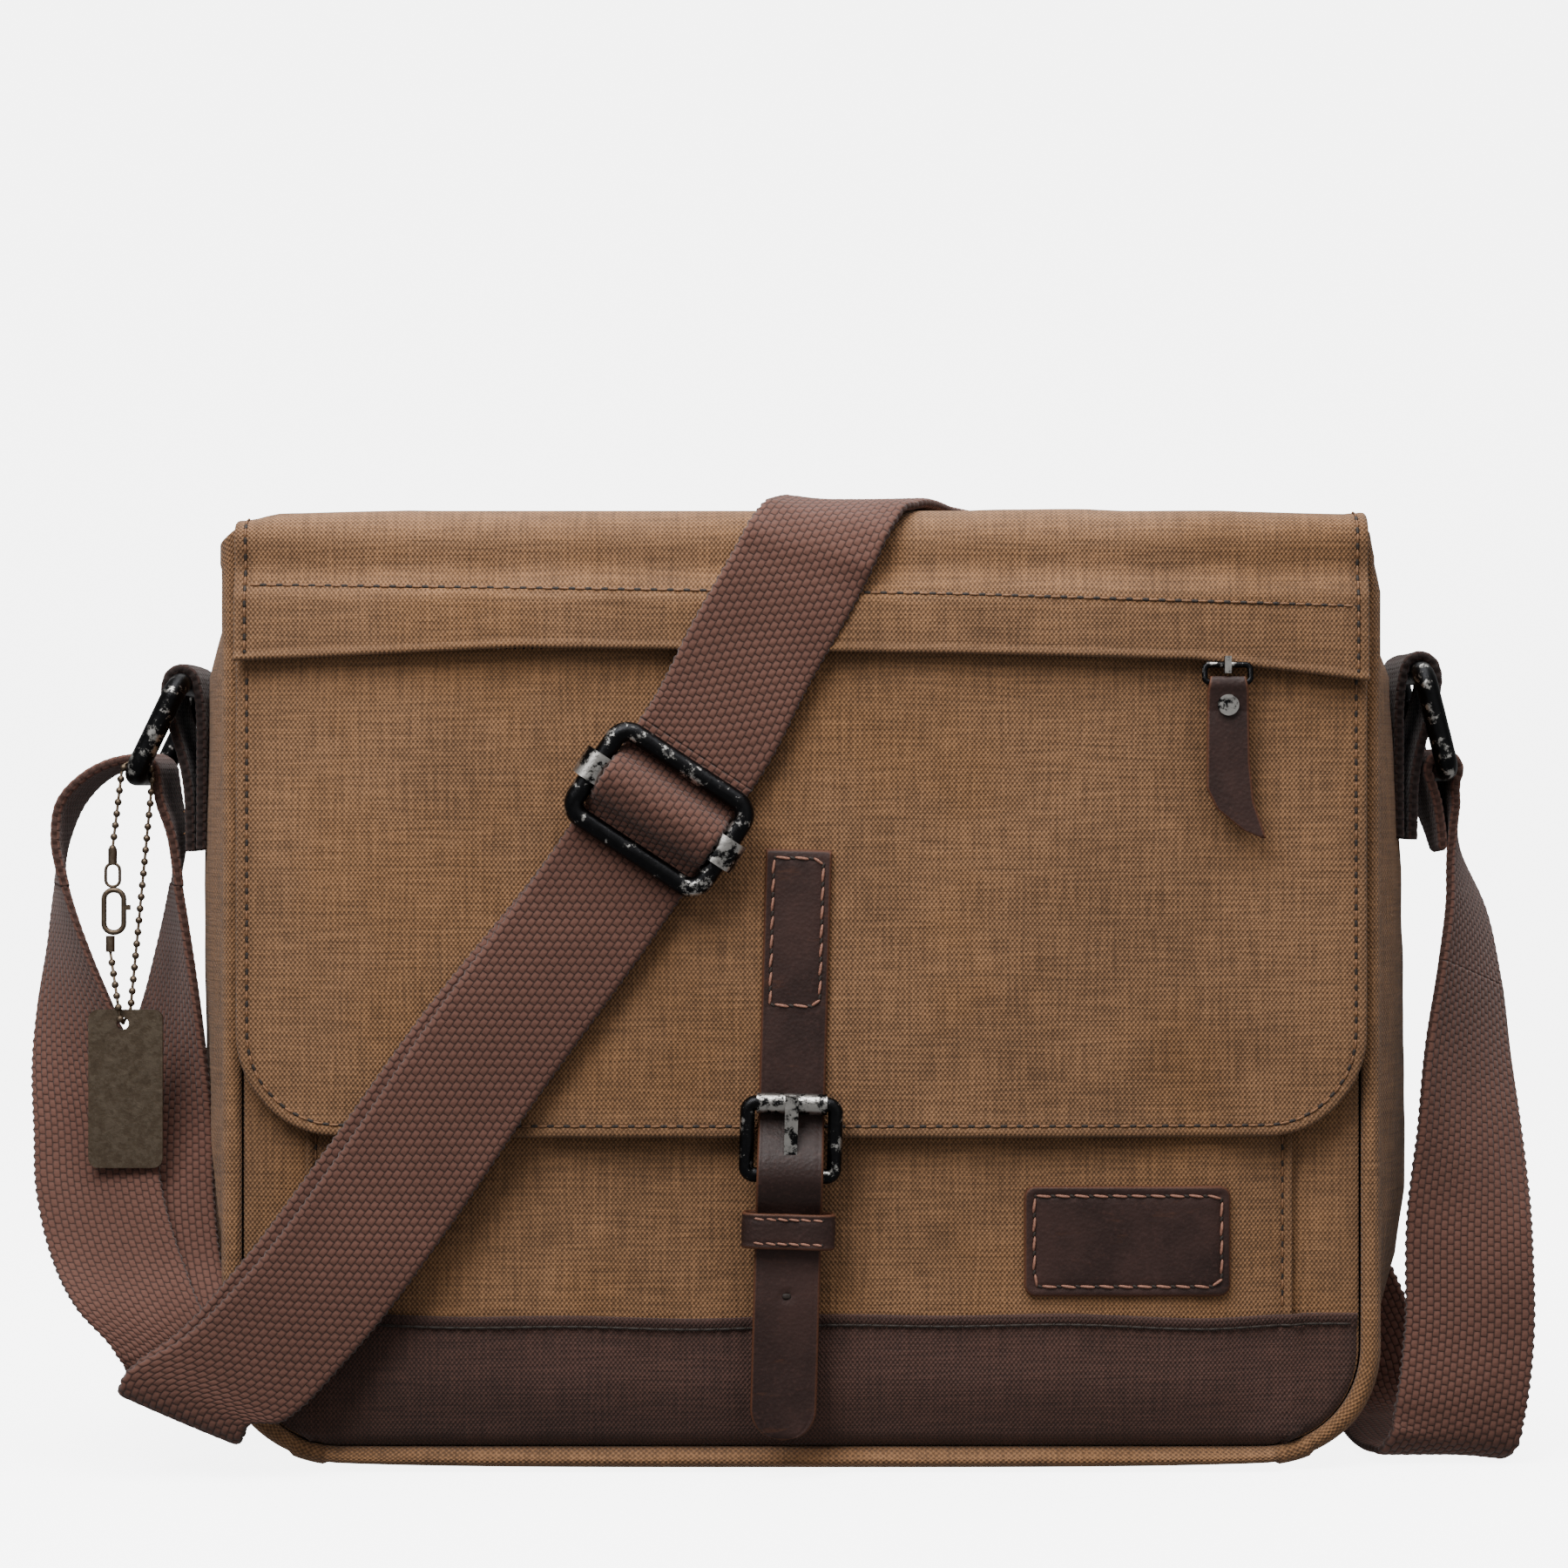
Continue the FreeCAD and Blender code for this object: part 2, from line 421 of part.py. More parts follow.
cut_a = at(-123.8, 0, 86.0)
p1, p2, p3 = at(-97.4, 0, 124.7), at(-151.8, 0, 49.7), at(-172.3, 0, 30.0)
low_dir = (p1 - cut_a).normalize()
low_w = across(low_dir)
y_bar = Y_A - 3.6                      # slider's moving bar
a_low = [(V(cut_a.x, Y_A, cut_a.z), low_w), (V(p1.x, Y_A, p1.z), across((S - p1).normalize() + low_dir)),
         (on_slider(-20, Y_A), slide_w)]
a_mid = [(on_slider(s, Y_A + y), slide_w) for s, y in
         ((-12, 0), (-4.5, -8.1), (-2.5, -9.7), (2.5, -9.7), (4.5, -8.1), (12, 0), (20, 0))]
up_dir = V(0.462, 0, 0.887)
rise = (BODY_H - 13.5 - on_slider(26, 0).z) / up_dir.z
up0 = on_slider(26, Y_A)
up1 = V(up0.x + up_dir.x * rise, Y_A, BODY_H - 13.5)
over = [(up0, across(up_dir + slide_dir)), (up1, X)]
x, last = up1.x, (Y_A, up1.z)
for y, z in ((Y_A + 1.2, Z_FLAP - 10.5), (Y_A + 5.5, Z_FLAP - 3.5), (Y_A + 13, Z_FLAP + 0.9),
             (Y_A + 22.5, Z_FLAP + 2.1), (Y_BACK - 4, Z_FLAP + 2.1)):
    x += 0.521 * math.hypot(y - last[0], z - last[1])
    last = (y, z)
    over.append((V(x, y, z), X))
front_run = ribbon(a_low + a_mid + over)
lean = 3.0                             # the layer behind shows along the upper left edge
b_low = [(V(cut_a.x, Y_B, cut_a.z) - low_w * lean, low_w),
         (V(p1.x, Y_B, p1.z) - low_w * 2.0, across((S - p1).normalize() + low_dir)),
         (on_slider(-20, Y_B), slide_w), (on_slider(-12, Y_B), slide_w), (on_slider(-3, y_bar + 2.6), slide_w)]
end_loop = cyl(on_slider(0, y_bar) - slide_w * (WEB_W / 2 - 1), slide_w, 4.5, WEB_W - 2)
end_loop = end_loop.cut(cyl(on_slider(0, y_bar) - slide_w * 30, slide_w, 2.1, 60))
under = ribbon(b_low, 2.6).cut(cyl(on_slider(0, y_bar) - slide_w * 30, slide_w, 2.1, 60))
y_frame = Y_A - WEB_T / 2 - SLIDER_WIRE / 2 - 0.1
angle = math.degrees(math.atan2(-slide_w.z, slide_w.x))
frame = wire_frame(SLIDER_W, SLIDER_H, 5.0, SLIDER_WIRE / 2)
bar = [cyl(V(-(WEB_W / 2 - 1), 0, -(y_bar - y_frame)), X, 2.0, WEB_W - 2)]
for s in (-1, 1):
    bar.append(tube(V(s * SLIDER_W / 2, -4.5, 0), V(0, 1, 0), SLIDER_WIRE / 2 + 0.1, 5.3, 9))
bar = fuse(bar)
for name, shape in (("strap_slider_frame", frame), ("strap_slider_bar", bar)):
    shape.rotate(V(0, 0, 0), X, 90)
    shape.rotate(V(0, 0, 0), V(0, 1, 0), angle)
    shape.translate(V(S.x, y_frame, S.z))
    save(name, shape)
save("strap_front_run", front_run.cut(bar))
save("strap_front_under", fuse([under, end_loop]).cut(bar))

# fold at the lower left: both layers turn round one slanted line, the outer over the inner
fold = at(-186, Y_A + (Y_B - Y_A) * 1.5, 23.5)
crease = V(0.92, 0, -0.39)
down = V(-0.39, 0, -0.92)


def bend(r):
    out = []
    for a in range(0, 181, 30):
        c, s = math.cos(math.radians(a)), math.sin(math.radians(a))
        out.append((V(fold.x, fold.y - r * c, fold.z) + down * (r * s), crease))
    return out


def twist(phi):
    return V(math.sin(math.radians(phi)), -math.cos(math.radians(phi)), 0)


gap_dir = low_dir * -0.8
r_a, r_b = LAYER * 1.5, LAYER * 0.5
a_in = [(V(cut_a.x, Y_A, cut_a.z) + gap_dir, low_w), (V(p2.x, Y_A, p2.z), across((p1 - p2).normalize())),
        (V(p3.x, Y_A, p3.z), V(0.80, 0, -0.60))]
a_up = [(at(-187.5, fold.y + r_a, 34), V(0.97, 0, -0.2)), (at(-193, -51.8, 48), V(0.99, 0, -0.1)),
        (at(-199, -38.5, 64), X), (at(-202, -26, 85), twist(85)), (at(-203, -17.5, 102), twist(74)),
        (at(-201.5, -11, 120), twist(54)), (at(-199.5, -6.5, 138), twist(36)), (at(-199, -2.5, 156), twist(24)),
        (at(-199, 1.0, 178), twist(11)), (at(-199.5, 3.0, 197), twist(3))]
save("strap_left_inner", ribbon(a_in + bend(r_a) + a_up))
b_in = [(V(cut_a.x, Y_B, cut_a.z) + gap_dir - low_w * lean, low_w),
        (V(p2.x, Y_B, p2.z) - low_w * lean, across((p1 - p2).normalize())),
        (V(p3.x, Y_B, p3.z) - low_w * 2, V(0.80, 0, -0.60))]
b_up = [(at(-188.5, fold.y + r_b, 34), V(0.97, 0, -0.2)), (at(-200, -56.0, 48), V(0.99, 0, -0.1)),
        (at(-210, -44, 64), X), (at(-218, -31, 85), twist(85)), (at(-221, -22.5, 102), twist(78)),
        (at(-225, -16, 120), twist(65)), (at(-228.5, -11, 138), twist(48)), (at(-232, -5, 156), twist(30)),
        (at(-235.3, 0, 178), twist(14)), (at(-236, 2.5, 196), twist(4)), (at(-231, 3, 207), twist(0)),
        (at(-221.8, 3, 213), twist(0))]
save("strap_left_outer", ribbon(b_in + bend(r_b) + b_up))

y_rear = Y_BACK + 0.3 + WEB_T / 2
foot_x = SIDE + 1.5
back = [(V(over[-1][0].x + 7, y_rear, BODY_H - 7.5), X), (V(foot_x, y_rear, 18), X)]
foot = [(V(foot_x + 2, y_rear - 1.5, 9), X), (V(foot_x + 3.5, y_rear - 5.8, 3.6), X), (V(foot_x + 4, y_rear - 11.8, 2), X)]
save("strap_back_run", ribbon(back + foot + [(V(foot_x + 5, y_rear - 30, 2), X)]))
drop = [(V(foot_x + 5.1, y_rear - 30.8, 2), X), (V(foot_x + 8, -28, 2), X), (V(foot_x + 10, -34, 3.4), X),
        (V(foot_x + 12.5, -38.3, 8), X), (V(foot_x + 14, -39.8, 16), X), (at(206, -39, 40), X),
        (at(207, -34, 70), V(0.99, 0.1, 0)), (at(209, -26, 98), V(0.9, 0.44, 0)), (at(210, -18, 124), V(0.77, 0.64, 0)),
        (at(212, -10, 150), V(0.6, 0.8, 0)), (at(212, -3.5, 172), V(0.41, 0.91, 0)),
        (at(208.5, 1.5, 190), V(0.17, 0.98, 0)), (at(206.0, 3, 201), V(0.0, 1, 0))]
save("strap_right_drop", ribbon(drop))

# ---- hanging tag --------------------------------------------------------------------------------------
y_chain = Y_MID - RING_IN_W / 2 + 1.9
tag_x, tag_y = bar_l.x - 1.9, -33.5 + (Y_FRONT + 47)
hole_z = bar_l.z - 77.1
plate = plate_xz(tag_x - TAG_W / 2 + 0.9, tag_x + TAG_W / 2 + 0.9, hole_z + 4.3 - TAG_H, hole_z + 4.3,
                 tag_y - TAG_T / 2, tag_y + TAG_T / 2, 3, 3)
save("tag_plate", plate.cut(cyl(V(tag_x, tag_y - 5, hole_z), V(0, 1, 0), 1.9, 10)))


def beads(path, first):
    """A ball chain along a polyline: a thin core and a bead at every step."""
    parts, left = [], first
    for a, b in zip(path[:-1], path[1:]):
        d = b - a
        n = d.Length
        d.normalize()
        side = d.cross(V(1, 0.37, 0.21)).normalize()
        parts.append(cyl(a, d, 0.45, n))
        parts.append(Part.makeSphere(0.52, b, side))
        while left <= n:
            parts.append(Part.makeSphere(BEAD_R, a + d * left, side))
            left += BEAD_PITCH
        left -= n
    return fuse(parts)


r_loop = r_ring + BEAD_R + 0.3
over_bar = [V(bar_l.x + r_loop * math.cos(math.radians(a)), y_chain, bar_l.z + r_loop * math.sin(math.radians(a)))
            for a in range(175, 4, -34)]
cap_z = hole_z + 49.0
slope = (tag_y - y_chain) / 77.1


def hang(x, z, dy=0.0):
    return V(x, y_chain + slope * (bar_l.z - z) + dy, z)


right_low = V(tag_x + 1.9, tag_y + 2.8, hole_z + 4.5)
chain = [hang(bar_l.x - r_loop - 2.0, cap_z + 5)] + over_bar + [right_low, V(tag_x, tag_y + 0.9, hole_z)]
top_cap = hang(bar_l.x - r_loop - 2.0, cap_z + 5)
cap = cyl(V(top_cap.x, top_cap.y, top_cap.z - 5), V(0, 0, 1), 1.4, 5)
save("chain_cap_upper", cap)
save("tag_chain_upper", beads(chain, 0.0).cut(cap))
low_cap = hole_z + 22.0
chain = [V(tag_x, tag_y - 0.2, hole_z), V(tag_x - 0.5, tag_y - 2.4, hole_z + 1.6),
         V(tag_x - 1.2, tag_y - 2.7, hole_z + 7), hang(bar_l.x - r_loop - 1.4, low_cap, -1.0)]
low = hang(bar_l.x - r_loop - 1.4, low_cap, -1.0)
cap = cyl(low, V(0, 0, 1), 1.4, 5)
save("chain_cap_lower", cap)
save("tag_chain_lower", beads(chain, 2.6).cut(cap))
link = wire_frame(4.4, 7.2, 2.1, 0.5)
link.rotate(V(0, 0, 0), X, 90)
link.translate(V(top_cap.x + 0.1, top_cap.y - 0.2, top_cap.z - 5 - 3.6 + 0.3))
save("clasp_link", link.cut(cyl(V(top_cap.x, top_cap.y, top_cap.z - 5), V(0, 0, 1), 1.4, 5)))
clasp_mid = V(top_cap.x + 0.5, top_cap.y - 0.6, (top_cap.z - 12.2 + low.z + 5) / 2)
clasp_h = top_cap.z - 12.2 - low.z - 5
claw = wire_frame(6.2, clasp_h - 1.6, 2.9, 0.85)
claw.rotate(V(0, 0, 0), X, 90)
claw.translate(clasp_mid)
stem = cyl(clasp_mid + V(0, 0, clasp_h / 2 - 1.4), V(0, 0, 1), 0.7, 0.8)
lever = box(clasp_mid.x + 2.4, clasp_mid.x + 5.2, clasp_mid.y - 0.7, clasp_mid.y + 0.7,
            clasp_mid.z + 0.4, clasp_mid.z + 2.0)
save("clasp_body", fuse([claw, stem, lever]).cut(link))
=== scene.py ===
"""Canvas messenger bag: cloth, leather, webbing and finishes built round the bag's frame.

The bag faces -Y, X runs to the right of someone facing it, Z is up. The making is done in
millimetres and turned to metres when a mesh is filled.
"""
import math

import bpy
import numpy as np
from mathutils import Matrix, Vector, noise


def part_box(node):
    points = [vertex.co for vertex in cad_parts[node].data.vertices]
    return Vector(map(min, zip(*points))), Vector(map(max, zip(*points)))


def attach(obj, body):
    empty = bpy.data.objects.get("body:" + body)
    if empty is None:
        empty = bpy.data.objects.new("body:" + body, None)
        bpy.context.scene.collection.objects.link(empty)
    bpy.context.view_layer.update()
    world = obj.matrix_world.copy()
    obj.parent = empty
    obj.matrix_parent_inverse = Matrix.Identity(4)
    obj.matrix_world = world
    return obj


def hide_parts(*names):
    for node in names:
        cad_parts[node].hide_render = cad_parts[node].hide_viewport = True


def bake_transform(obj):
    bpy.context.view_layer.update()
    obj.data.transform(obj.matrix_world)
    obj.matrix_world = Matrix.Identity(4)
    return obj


bl_info = {
    "name": "Messenger Bag Maker",
    "version": (1, 0, 0),
    "blender": (4, 5, 0),
    "location": "View3D > Sidebar > Bag",
    "description": "Builds the cloth, leather and webbing of a canvas messenger bag",
    "category": "Object",
}

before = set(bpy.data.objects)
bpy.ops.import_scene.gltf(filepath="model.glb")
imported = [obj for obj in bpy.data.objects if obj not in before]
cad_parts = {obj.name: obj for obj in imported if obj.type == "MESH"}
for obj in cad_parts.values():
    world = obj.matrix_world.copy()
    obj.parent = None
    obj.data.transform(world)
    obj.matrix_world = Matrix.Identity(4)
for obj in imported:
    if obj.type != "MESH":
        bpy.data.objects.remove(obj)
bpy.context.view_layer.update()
MM = 0.001
MAP = "cut"


def node_edge(node, corner, axis):
    """One coordinate, in metres, of a node's lowest (0) or highest (1) corner."""
    return float(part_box(node)[corner][axis])


# ---- sizes and colours a user may change ---------------------------------------------------
def length(name, description, default):
    return bpy.props.FloatProperty(name=name, description=description, default=default,
                                   unit="LENGTH", min=0.0)


def colour(name, description, red, green, blue):
    return bpy.props.FloatVectorProperty(name=name, description=description, subtype="COLOR",
                                         size=3, min=0.0, max=1.0, default=(red, green, blue))


class BagBodySizes(bpy.types.PropertyGroup):
    """Sizes of the sewn canvas body and its front pocket"""
    half_width: length("Half width", "From the middle to the side seams", node_edge("front_panel", 1, 0))
    front: bpy.props.FloatProperty(name="Front face", description="Place of the front panel along Y",
                                   default=node_edge("front_panel", 0, 1), unit="LENGTH")
    back: bpy.props.FloatProperty(name="Back face", description="Place of the back panel along Y",
                                  default=node_edge("back_panel", 1, 1), unit="LENGTH")
    mouth: length("Mouth height", "Height of the open mouth", node_edge("front_panel", 1, 2))
    seam: length("Seam height", "Height of the bottom seam above the ground", 0.0075)
    corner: length("Corner radius", "Lower corners seen from the front", 0.030)
    swell_left: length("Left swell", "How far the left gusset bows out", 0.0185)
    swell_right: length("Right swell", "How far the right gusset bows out", 0.0215)
    canvas: length("Canvas thickness", "Thickness of the canvas", 0.0017)
    band: length("Band height", "Top of the dark band", node_edge("base_band", 1, 2))
    pocket_top: length("Pocket height", "Height of the pocket mouth", node_edge("front_pocket", 1, 2))


class BagFlapSizes(bpy.types.PropertyGroup):
    """Sizes of the flap"""
    half_width: length("Half width", "Half the flap's width", node_edge("flap_front_panel", 1, 0))
    low: length("Lower edge", "Height of the flap's lower edge", node_edge("flap_front_panel", 0, 2))
    front: bpy.props.FloatProperty(name="Front face", description="Place of the flap's face along Y",
                                   default=node_edge("flap_front_panel", 0, 1), unit="LENGTH")
    crown: length("Crown", "Height of the flap's top", node_edge("flap_top_panel", 1, 2))
    bend: length("Bend", "Radius over the top front edge", 0.012)
    corner: length("Corner radius", "Lower corners of the flap", 0.031)
    ease: length("Ease", "How far the side edges lie back from the middle", 0.006)


class BagStrapSizes(bpy.types.PropertyGroup):
    """Sizes of the webbing and its weave"""
    width: length("Width", "Width of the webbing", 0.040)
    thickness: length("Thickness", "Thickness of the webbing", 0.003)
    cell_across: length("Cell width", "Two cells of the weave across the webbing", 0.0042)
    cell_along: length("Cell length", "One cell of the weave along the webbing", 0.0029)
    relief: length("Relief", "Height of the weave's cells", 0.00042)


class BagFinishes(bpy.types.PropertyGroup):
    """Colours of the cloth, leather, thread and metal"""
    canvas: colour("Canvas", "Waxed canvas", 0.225, 0.112, 0.050)
    dark_canvas: colour("Dark canvas", "Canvas of the base band", 0.066, 0.0285, 0.0205)
    lining: colour("Lining", "Cotton lining", 0.26, 0.17, 0.10)
    webbing: colour("Webbing", "Shoulder strap webbing", 0.120, 0.052, 0.037)
    tab_webbing: colour("Tab webbing", "Webbing of the side tabs", 0.040, 0.019, 0.015)
    leather: colour("Leather", "Oiled leather", 0.030, 0.0135, 0.0108)
    leather_edge: colour("Leather edge", "Raw edge of the leather", 0.13, 0.046, 0.020)
    thread: colour("Leather thread", "Thread on the leather", 0.30, 0.135, 0.090)
    canvas_thread: colour("Canvas thread", "Thread on the canvas", 0.20, 0.095, 0.042)
    metal: colour("Black metal", "Black plated metal", 0.016, 0.016, 0.017)
    bronze: colour("Aged bronze", "Hanging tag and chain", 0.135, 0.100, 0.070)


# ---- materials -----------------------------------------------------------------------------
class Finish:
    """A material and short calls for the nodes it is made of."""

    def __init__(self, name):
        self.material = bpy.data.materials.new(name)
        self.material.use_nodes = True
        self.tree = self.material.node_tree
        self.surface = self.tree.nodes["Principled BSDF"]

    def set(self, **values):
        for name, value in values.items():
            self.surface.inputs[name.replace("_", " ").title()].default_value = value

    def link(self, out, name):
        self.tree.links.new(out, self.surface.inputs[name])

    def fill(self, socket, value):
        if isinstance(value, (int, float, tuple)):
            socket.default_value = value
        else:
            self.tree.links.new(value, socket)

    def calc(self, operation, first, second=0.0, clamp=False):
        n = self.tree.nodes.new("ShaderNodeMath")
        n.operation, n.use_clamp = operation, clamp
        self.fill(n.inputs[0], first)
        self.fill(n.inputs[1], second)
        return n.outputs[0]

    def place(self):
        return self.tree.nodes.new("ShaderNodeTexCoord").outputs["Object"]

    def cut(self):
        """Along and across the cloth as it was cut, in metres."""
        n = self.tree.nodes.new("ShaderNodeUVMap")
        n.uv_map = MAP
        s = self.tree.nodes.new("ShaderNodeSeparateXYZ")
        self.tree.links.new(n.outputs[0], s.inputs[0])
        return n.outputs[0], s.outputs[0], s.outputs[1]

    def stretch(self, vector, *scale):
        n = self.tree.nodes.new("ShaderNodeMapping")
        self.tree.links.new(vector, n.inputs["Vector"])
        n.inputs["Scale"].default_value = scale
        return n.outputs[0]

    def noise(self, vector, scale, detail=3.0, rough=0.55):
        n = self.tree.nodes.new("ShaderNodeTexNoise")
        self.tree.links.new(vector, n.inputs["Vector"])
        for name, value in (("Scale", scale), ("Detail", detail), ("Roughness", rough)):
            n.inputs[name].default_value = value
        return n.outputs["Fac"]

    def cells(self, vector, scale):
        n = self.tree.nodes.new("ShaderNodeTexVoronoi")
        n.feature = "F1"
        self.tree.links.new(vector, n.inputs["Vector"])
        n.inputs["Scale"].default_value = scale
        return n.outputs["Distance"]

    def band(self, value, low, high, to_low=0.0, to_high=1.0):
        n = self.tree.nodes.new("ShaderNodeMapRange")
        n.interpolation_type = "SMOOTHSTEP"
        self.fill(n.inputs["Value"], value)
        for name, number in (("From Min", low), ("From Max", high), ("To Min", to_low), ("To Max", to_high)):
            n.inputs[name].default_value = number
        return n.outputs[0]

    def mix(self, factor, first, second, how="MIX"):
        n = self.tree.nodes.new("ShaderNodeMix")
        n.data_type, n.blend_type = "RGBA", how
        self.fill(n.inputs[0], factor)
        for socket, value in ((n.inputs[6], first), (n.inputs[7], second)):
            self.fill(socket, value if not isinstance(value, tuple) or len(value) == 4 else value + (1.0,))
        return n.outputs[2]

    def read(self, name):
        n = self.tree.nodes.new("ShaderNodeAttribute")
        n.attribute_name = name
        return n.outputs["Fac"]

    def bump(self, height, distance, strength=1.0, under=None):
        n = self.tree.nodes.new("ShaderNodeBump")
        n.inputs["Distance"].default_value = distance
        n.inputs["Strength"].default_value = strength
        self.tree.links.new(height, n.inputs["Height"])
        if under is not None:
            self.tree.links.new(under, n.inputs["Normal"])
        return n.outputs[0]


def shade(colour_value, factor):
    return tuple(min(1.0, c * factor) for c in colour_value[:3])


def woven(name, base, pitch, contrast=0.80, worn=0.6, rough=0.82, relief=0.00036):
    """Plain woven cloth with a dry waxed finish: threads with painted shade in their hollows and a painted highlight
    on their tops, mottling, scuffs and painted shade darkening the seams.
    """
    f = Finish(name)
    vector, a, b = f.cut()
    place = f.place()
    turn = 2 * math.pi / pitch
    wave = f.calc("MULTIPLY", f.calc("COSINE", f.calc("MULTIPLY", a, turn)),
                  f.calc("COSINE", f.calc("MULTIPLY", b, turn * 0.80)))
    slub = f.noise(f.stretch(vector, 900.0, 60.0, 1.0), 1.0, 2.0)
    fleck = f.noise(f.stretch(vector, 60.0, 900.0, 1.0), 1.0, 2.0)
    threads = f.calc("ADD", f.calc("MULTIPLY", wave, 0.5), f.calc("ADD", slub, f.calc("SUBTRACT", fleck, 0.5)))
    mottle = f.noise(place, 11.0, 5.0, 0.6)
    clouds = f.noise(place, 42.0, 4.0, 0.65)
    # rim marks painted shade: the cloth is darkened within 11 mm of its seams, hems and edges
    rim = f.band(f.read("edge"), 0.0, 0.011, 1.0, 0.0)
    tone = f.mix(f.band(mottle, 0.32, 0.68), shade(base, 0.78), shade(base, 1.22))
    tone = f.mix(f.calc("MULTIPLY", f.band(clouds, 0.45, 0.72), 0.40), tone, shade(base, 1.45))
    warm = f.band(f.noise(f.stretch(place, 15.0, 15.0, 15.0), 1.0, 4.0, 0.6), 0.46, 0.66)
    rusty = (base[0] * 1.12, base[1] * 0.98, base[2] * 0.60, 1.0)
    tone = f.mix(f.calc("MULTIPLY", warm, 0.60 * worn), tone, rusty)
    rubbed = f.band(f.noise(f.stretch(place, 26.0, 26.0, 9.0), 1.0, 5.0, 0.65), 0.50, 0.70)
    tone = f.mix(f.calc("MULTIPLY", rubbed, 0.30 * worn + 0.05), tone, shade(base, 0.62))
    # painted shade and painted highlight of the weave: darker where the threads lie low, lighter where they stand
    # high; the yarn's slubs are real tone
    tone = f.mix(f.band(threads, -0.10, 0.85, contrast, 0.0), tone, shade(base, 0.30))
    tone = f.mix(f.calc("MULTIPLY", f.band(threads, 0.45, 1.0), 0.55), tone, shade(base, 1.75))
    # painted shade darkening the cloth along its seams and edges
    tone = f.mix(f.calc("MULTIPLY", rim, 0.34), tone, shade(base, 0.45))
    scratch = f.band(f.noise(f.stretch(place, 14.0, 14.0, 60.0), 1.0, 6.0, 0.7), 0.61, 0.72)
    tone = f.mix(f.calc("MULTIPLY", scratch, 0.28 * worn), tone, shade(base, 1.6))
    f.link(tone, "Base Color")
    f.link(f.band(mottle, 0.3, 0.7, rough + 0.06, rough - 0.08), "Roughness")
    soft = f.bump(f.noise(place, 95.0, 4.0, 0.6), 0.0006, 0.35)
    f.link(f.bump(threads, relief, 0.9, soft), "Normal")
    f.set(sheen_weight=0.10, sheen_roughness=0.6)
    f.surface.inputs["Specular IOR Level"].default_value = 0.28
    return f.material


def ribbed(name, base, strap, contrast=0.80):
    """Heavy webbing: rows of raised oval cells with painted shade darkening the gaps between them."""
    f = Finish(name)
    vector, a, b = f.cut()
    place = f.place()
    row = f.calc("ADD", f.calc("MULTIPLY", a, 2.0 / strap.cell_across), 0.5)
    across = f.calc("SUBTRACT", f.calc("FRACT", row), 0.5)
    step = f.calc("FRACT", f.calc("MULTIPLY", f.calc("FLOOR", row), 0.5))
    along = f.calc("ADD", f.calc("MULTIPLY", b, 1.0 / strap.cell_along), f.calc("ADD", step, 0.5))
    along = f.calc("SUBTRACT", f.calc("FRACT", along), 0.5)
    cell = None
    for side in (across, along):
        side = f.calc("POWER", f.calc("ABSOLUTE", f.calc("MULTIPLY", side, 2.0)), 3.0)
        side = f.calc("SUBTRACT", 1.0, f.calc("MULTIPLY", side, 0.95))
        cell = side if cell is None else f.calc("MULTIPLY", cell, side)
    yarn = f.noise(f.stretch(vector, 700.0, 2600.0, 1.0), 1.0, 2.0)
    drift = f.noise(place, 16.0, 4.0, 0.6)
    tone = f.mix(f.band(drift, 0.3, 0.7), shade(base, 0.86), shade(base, 1.14))
    # painted shade in the gaps between the raised cells
    tone = f.mix(f.band(cell, 0.05, 0.75, contrast, 0.0), tone, shade(base, 0.16))
    tone = f.mix(f.calc("MULTIPLY", f.band(yarn, 0.45, 0.7), 0.22), tone, shade(base, 1.5))
    f.link(tone, "Base Color")
    f.link(f.band(drift, 0.3, 0.7, 0.86, 0.74), "Roughness")
    fuzz = f.bump(yarn, 0.00012, 0.7)
    f.link(f.bump(f.calc("POWER", cell, 0.6), 0.00045, 0.75, fuzz), "Normal")
    f.set(sheen_weight=0.16, sheen_roughness=0.5)
    f.surface.inputs["Specular IOR Level"].default_value = 0.25
    return f.material


def hide(name, base, edge, rough=0.56, raw_edge=True):
    """Oiled leather with grain, paler pull-up patches and a raw edge of another colour."""
    f = Finish(name)
    place = f.place()
    grain = f.cells(place, 900.0)
    pores = f.noise(place, 700.0, 3.0, 0.6)
    pull = f.noise(place, 26.0, 5.0, 0.62)
    tone = f.mix(f.band(pull, 0.36, 0.70), shade(base, 0.72), shade(base, 1.55))
    tone = f.mix(f.calc("MULTIPLY", f.band(pores, 0.50, 0.72), 0.30), tone, shade(base, 2.3))
    crack = f.band(f.noise(f.stretch(place, 60.0, 60.0, 240.0), 1.0, 5.0, 0.7), 0.60, 0.70)
    tone = f.mix(f.calc("MULTIPLY", crack, 0.25), tone, shade(edge, 0.8))
    if raw_edge:
        raw = f.band(f.read("edge"), 0.00025, 0.0009, 1.0, 0.0)
        tone = f.mix(f.calc("MULTIPLY", raw, 0.65), tone, tuple(edge))
    f.link(tone, "Base Color")
    f.link(f.band(pull, 0.3, 0.7, rough - 0.06, rough + 0.14), "Roughness")
    creases = f.bump(pull, 0.0006, 0.25)
    f.link(f.bump(f.calc("ADD", grain, f.calc("MULTIPLY", pores, 0.6)), 0.00014, 0.6, creases), "Normal")
    f.surface.inputs["Specular IOR Level"].default_value = 0.30
    return f.material


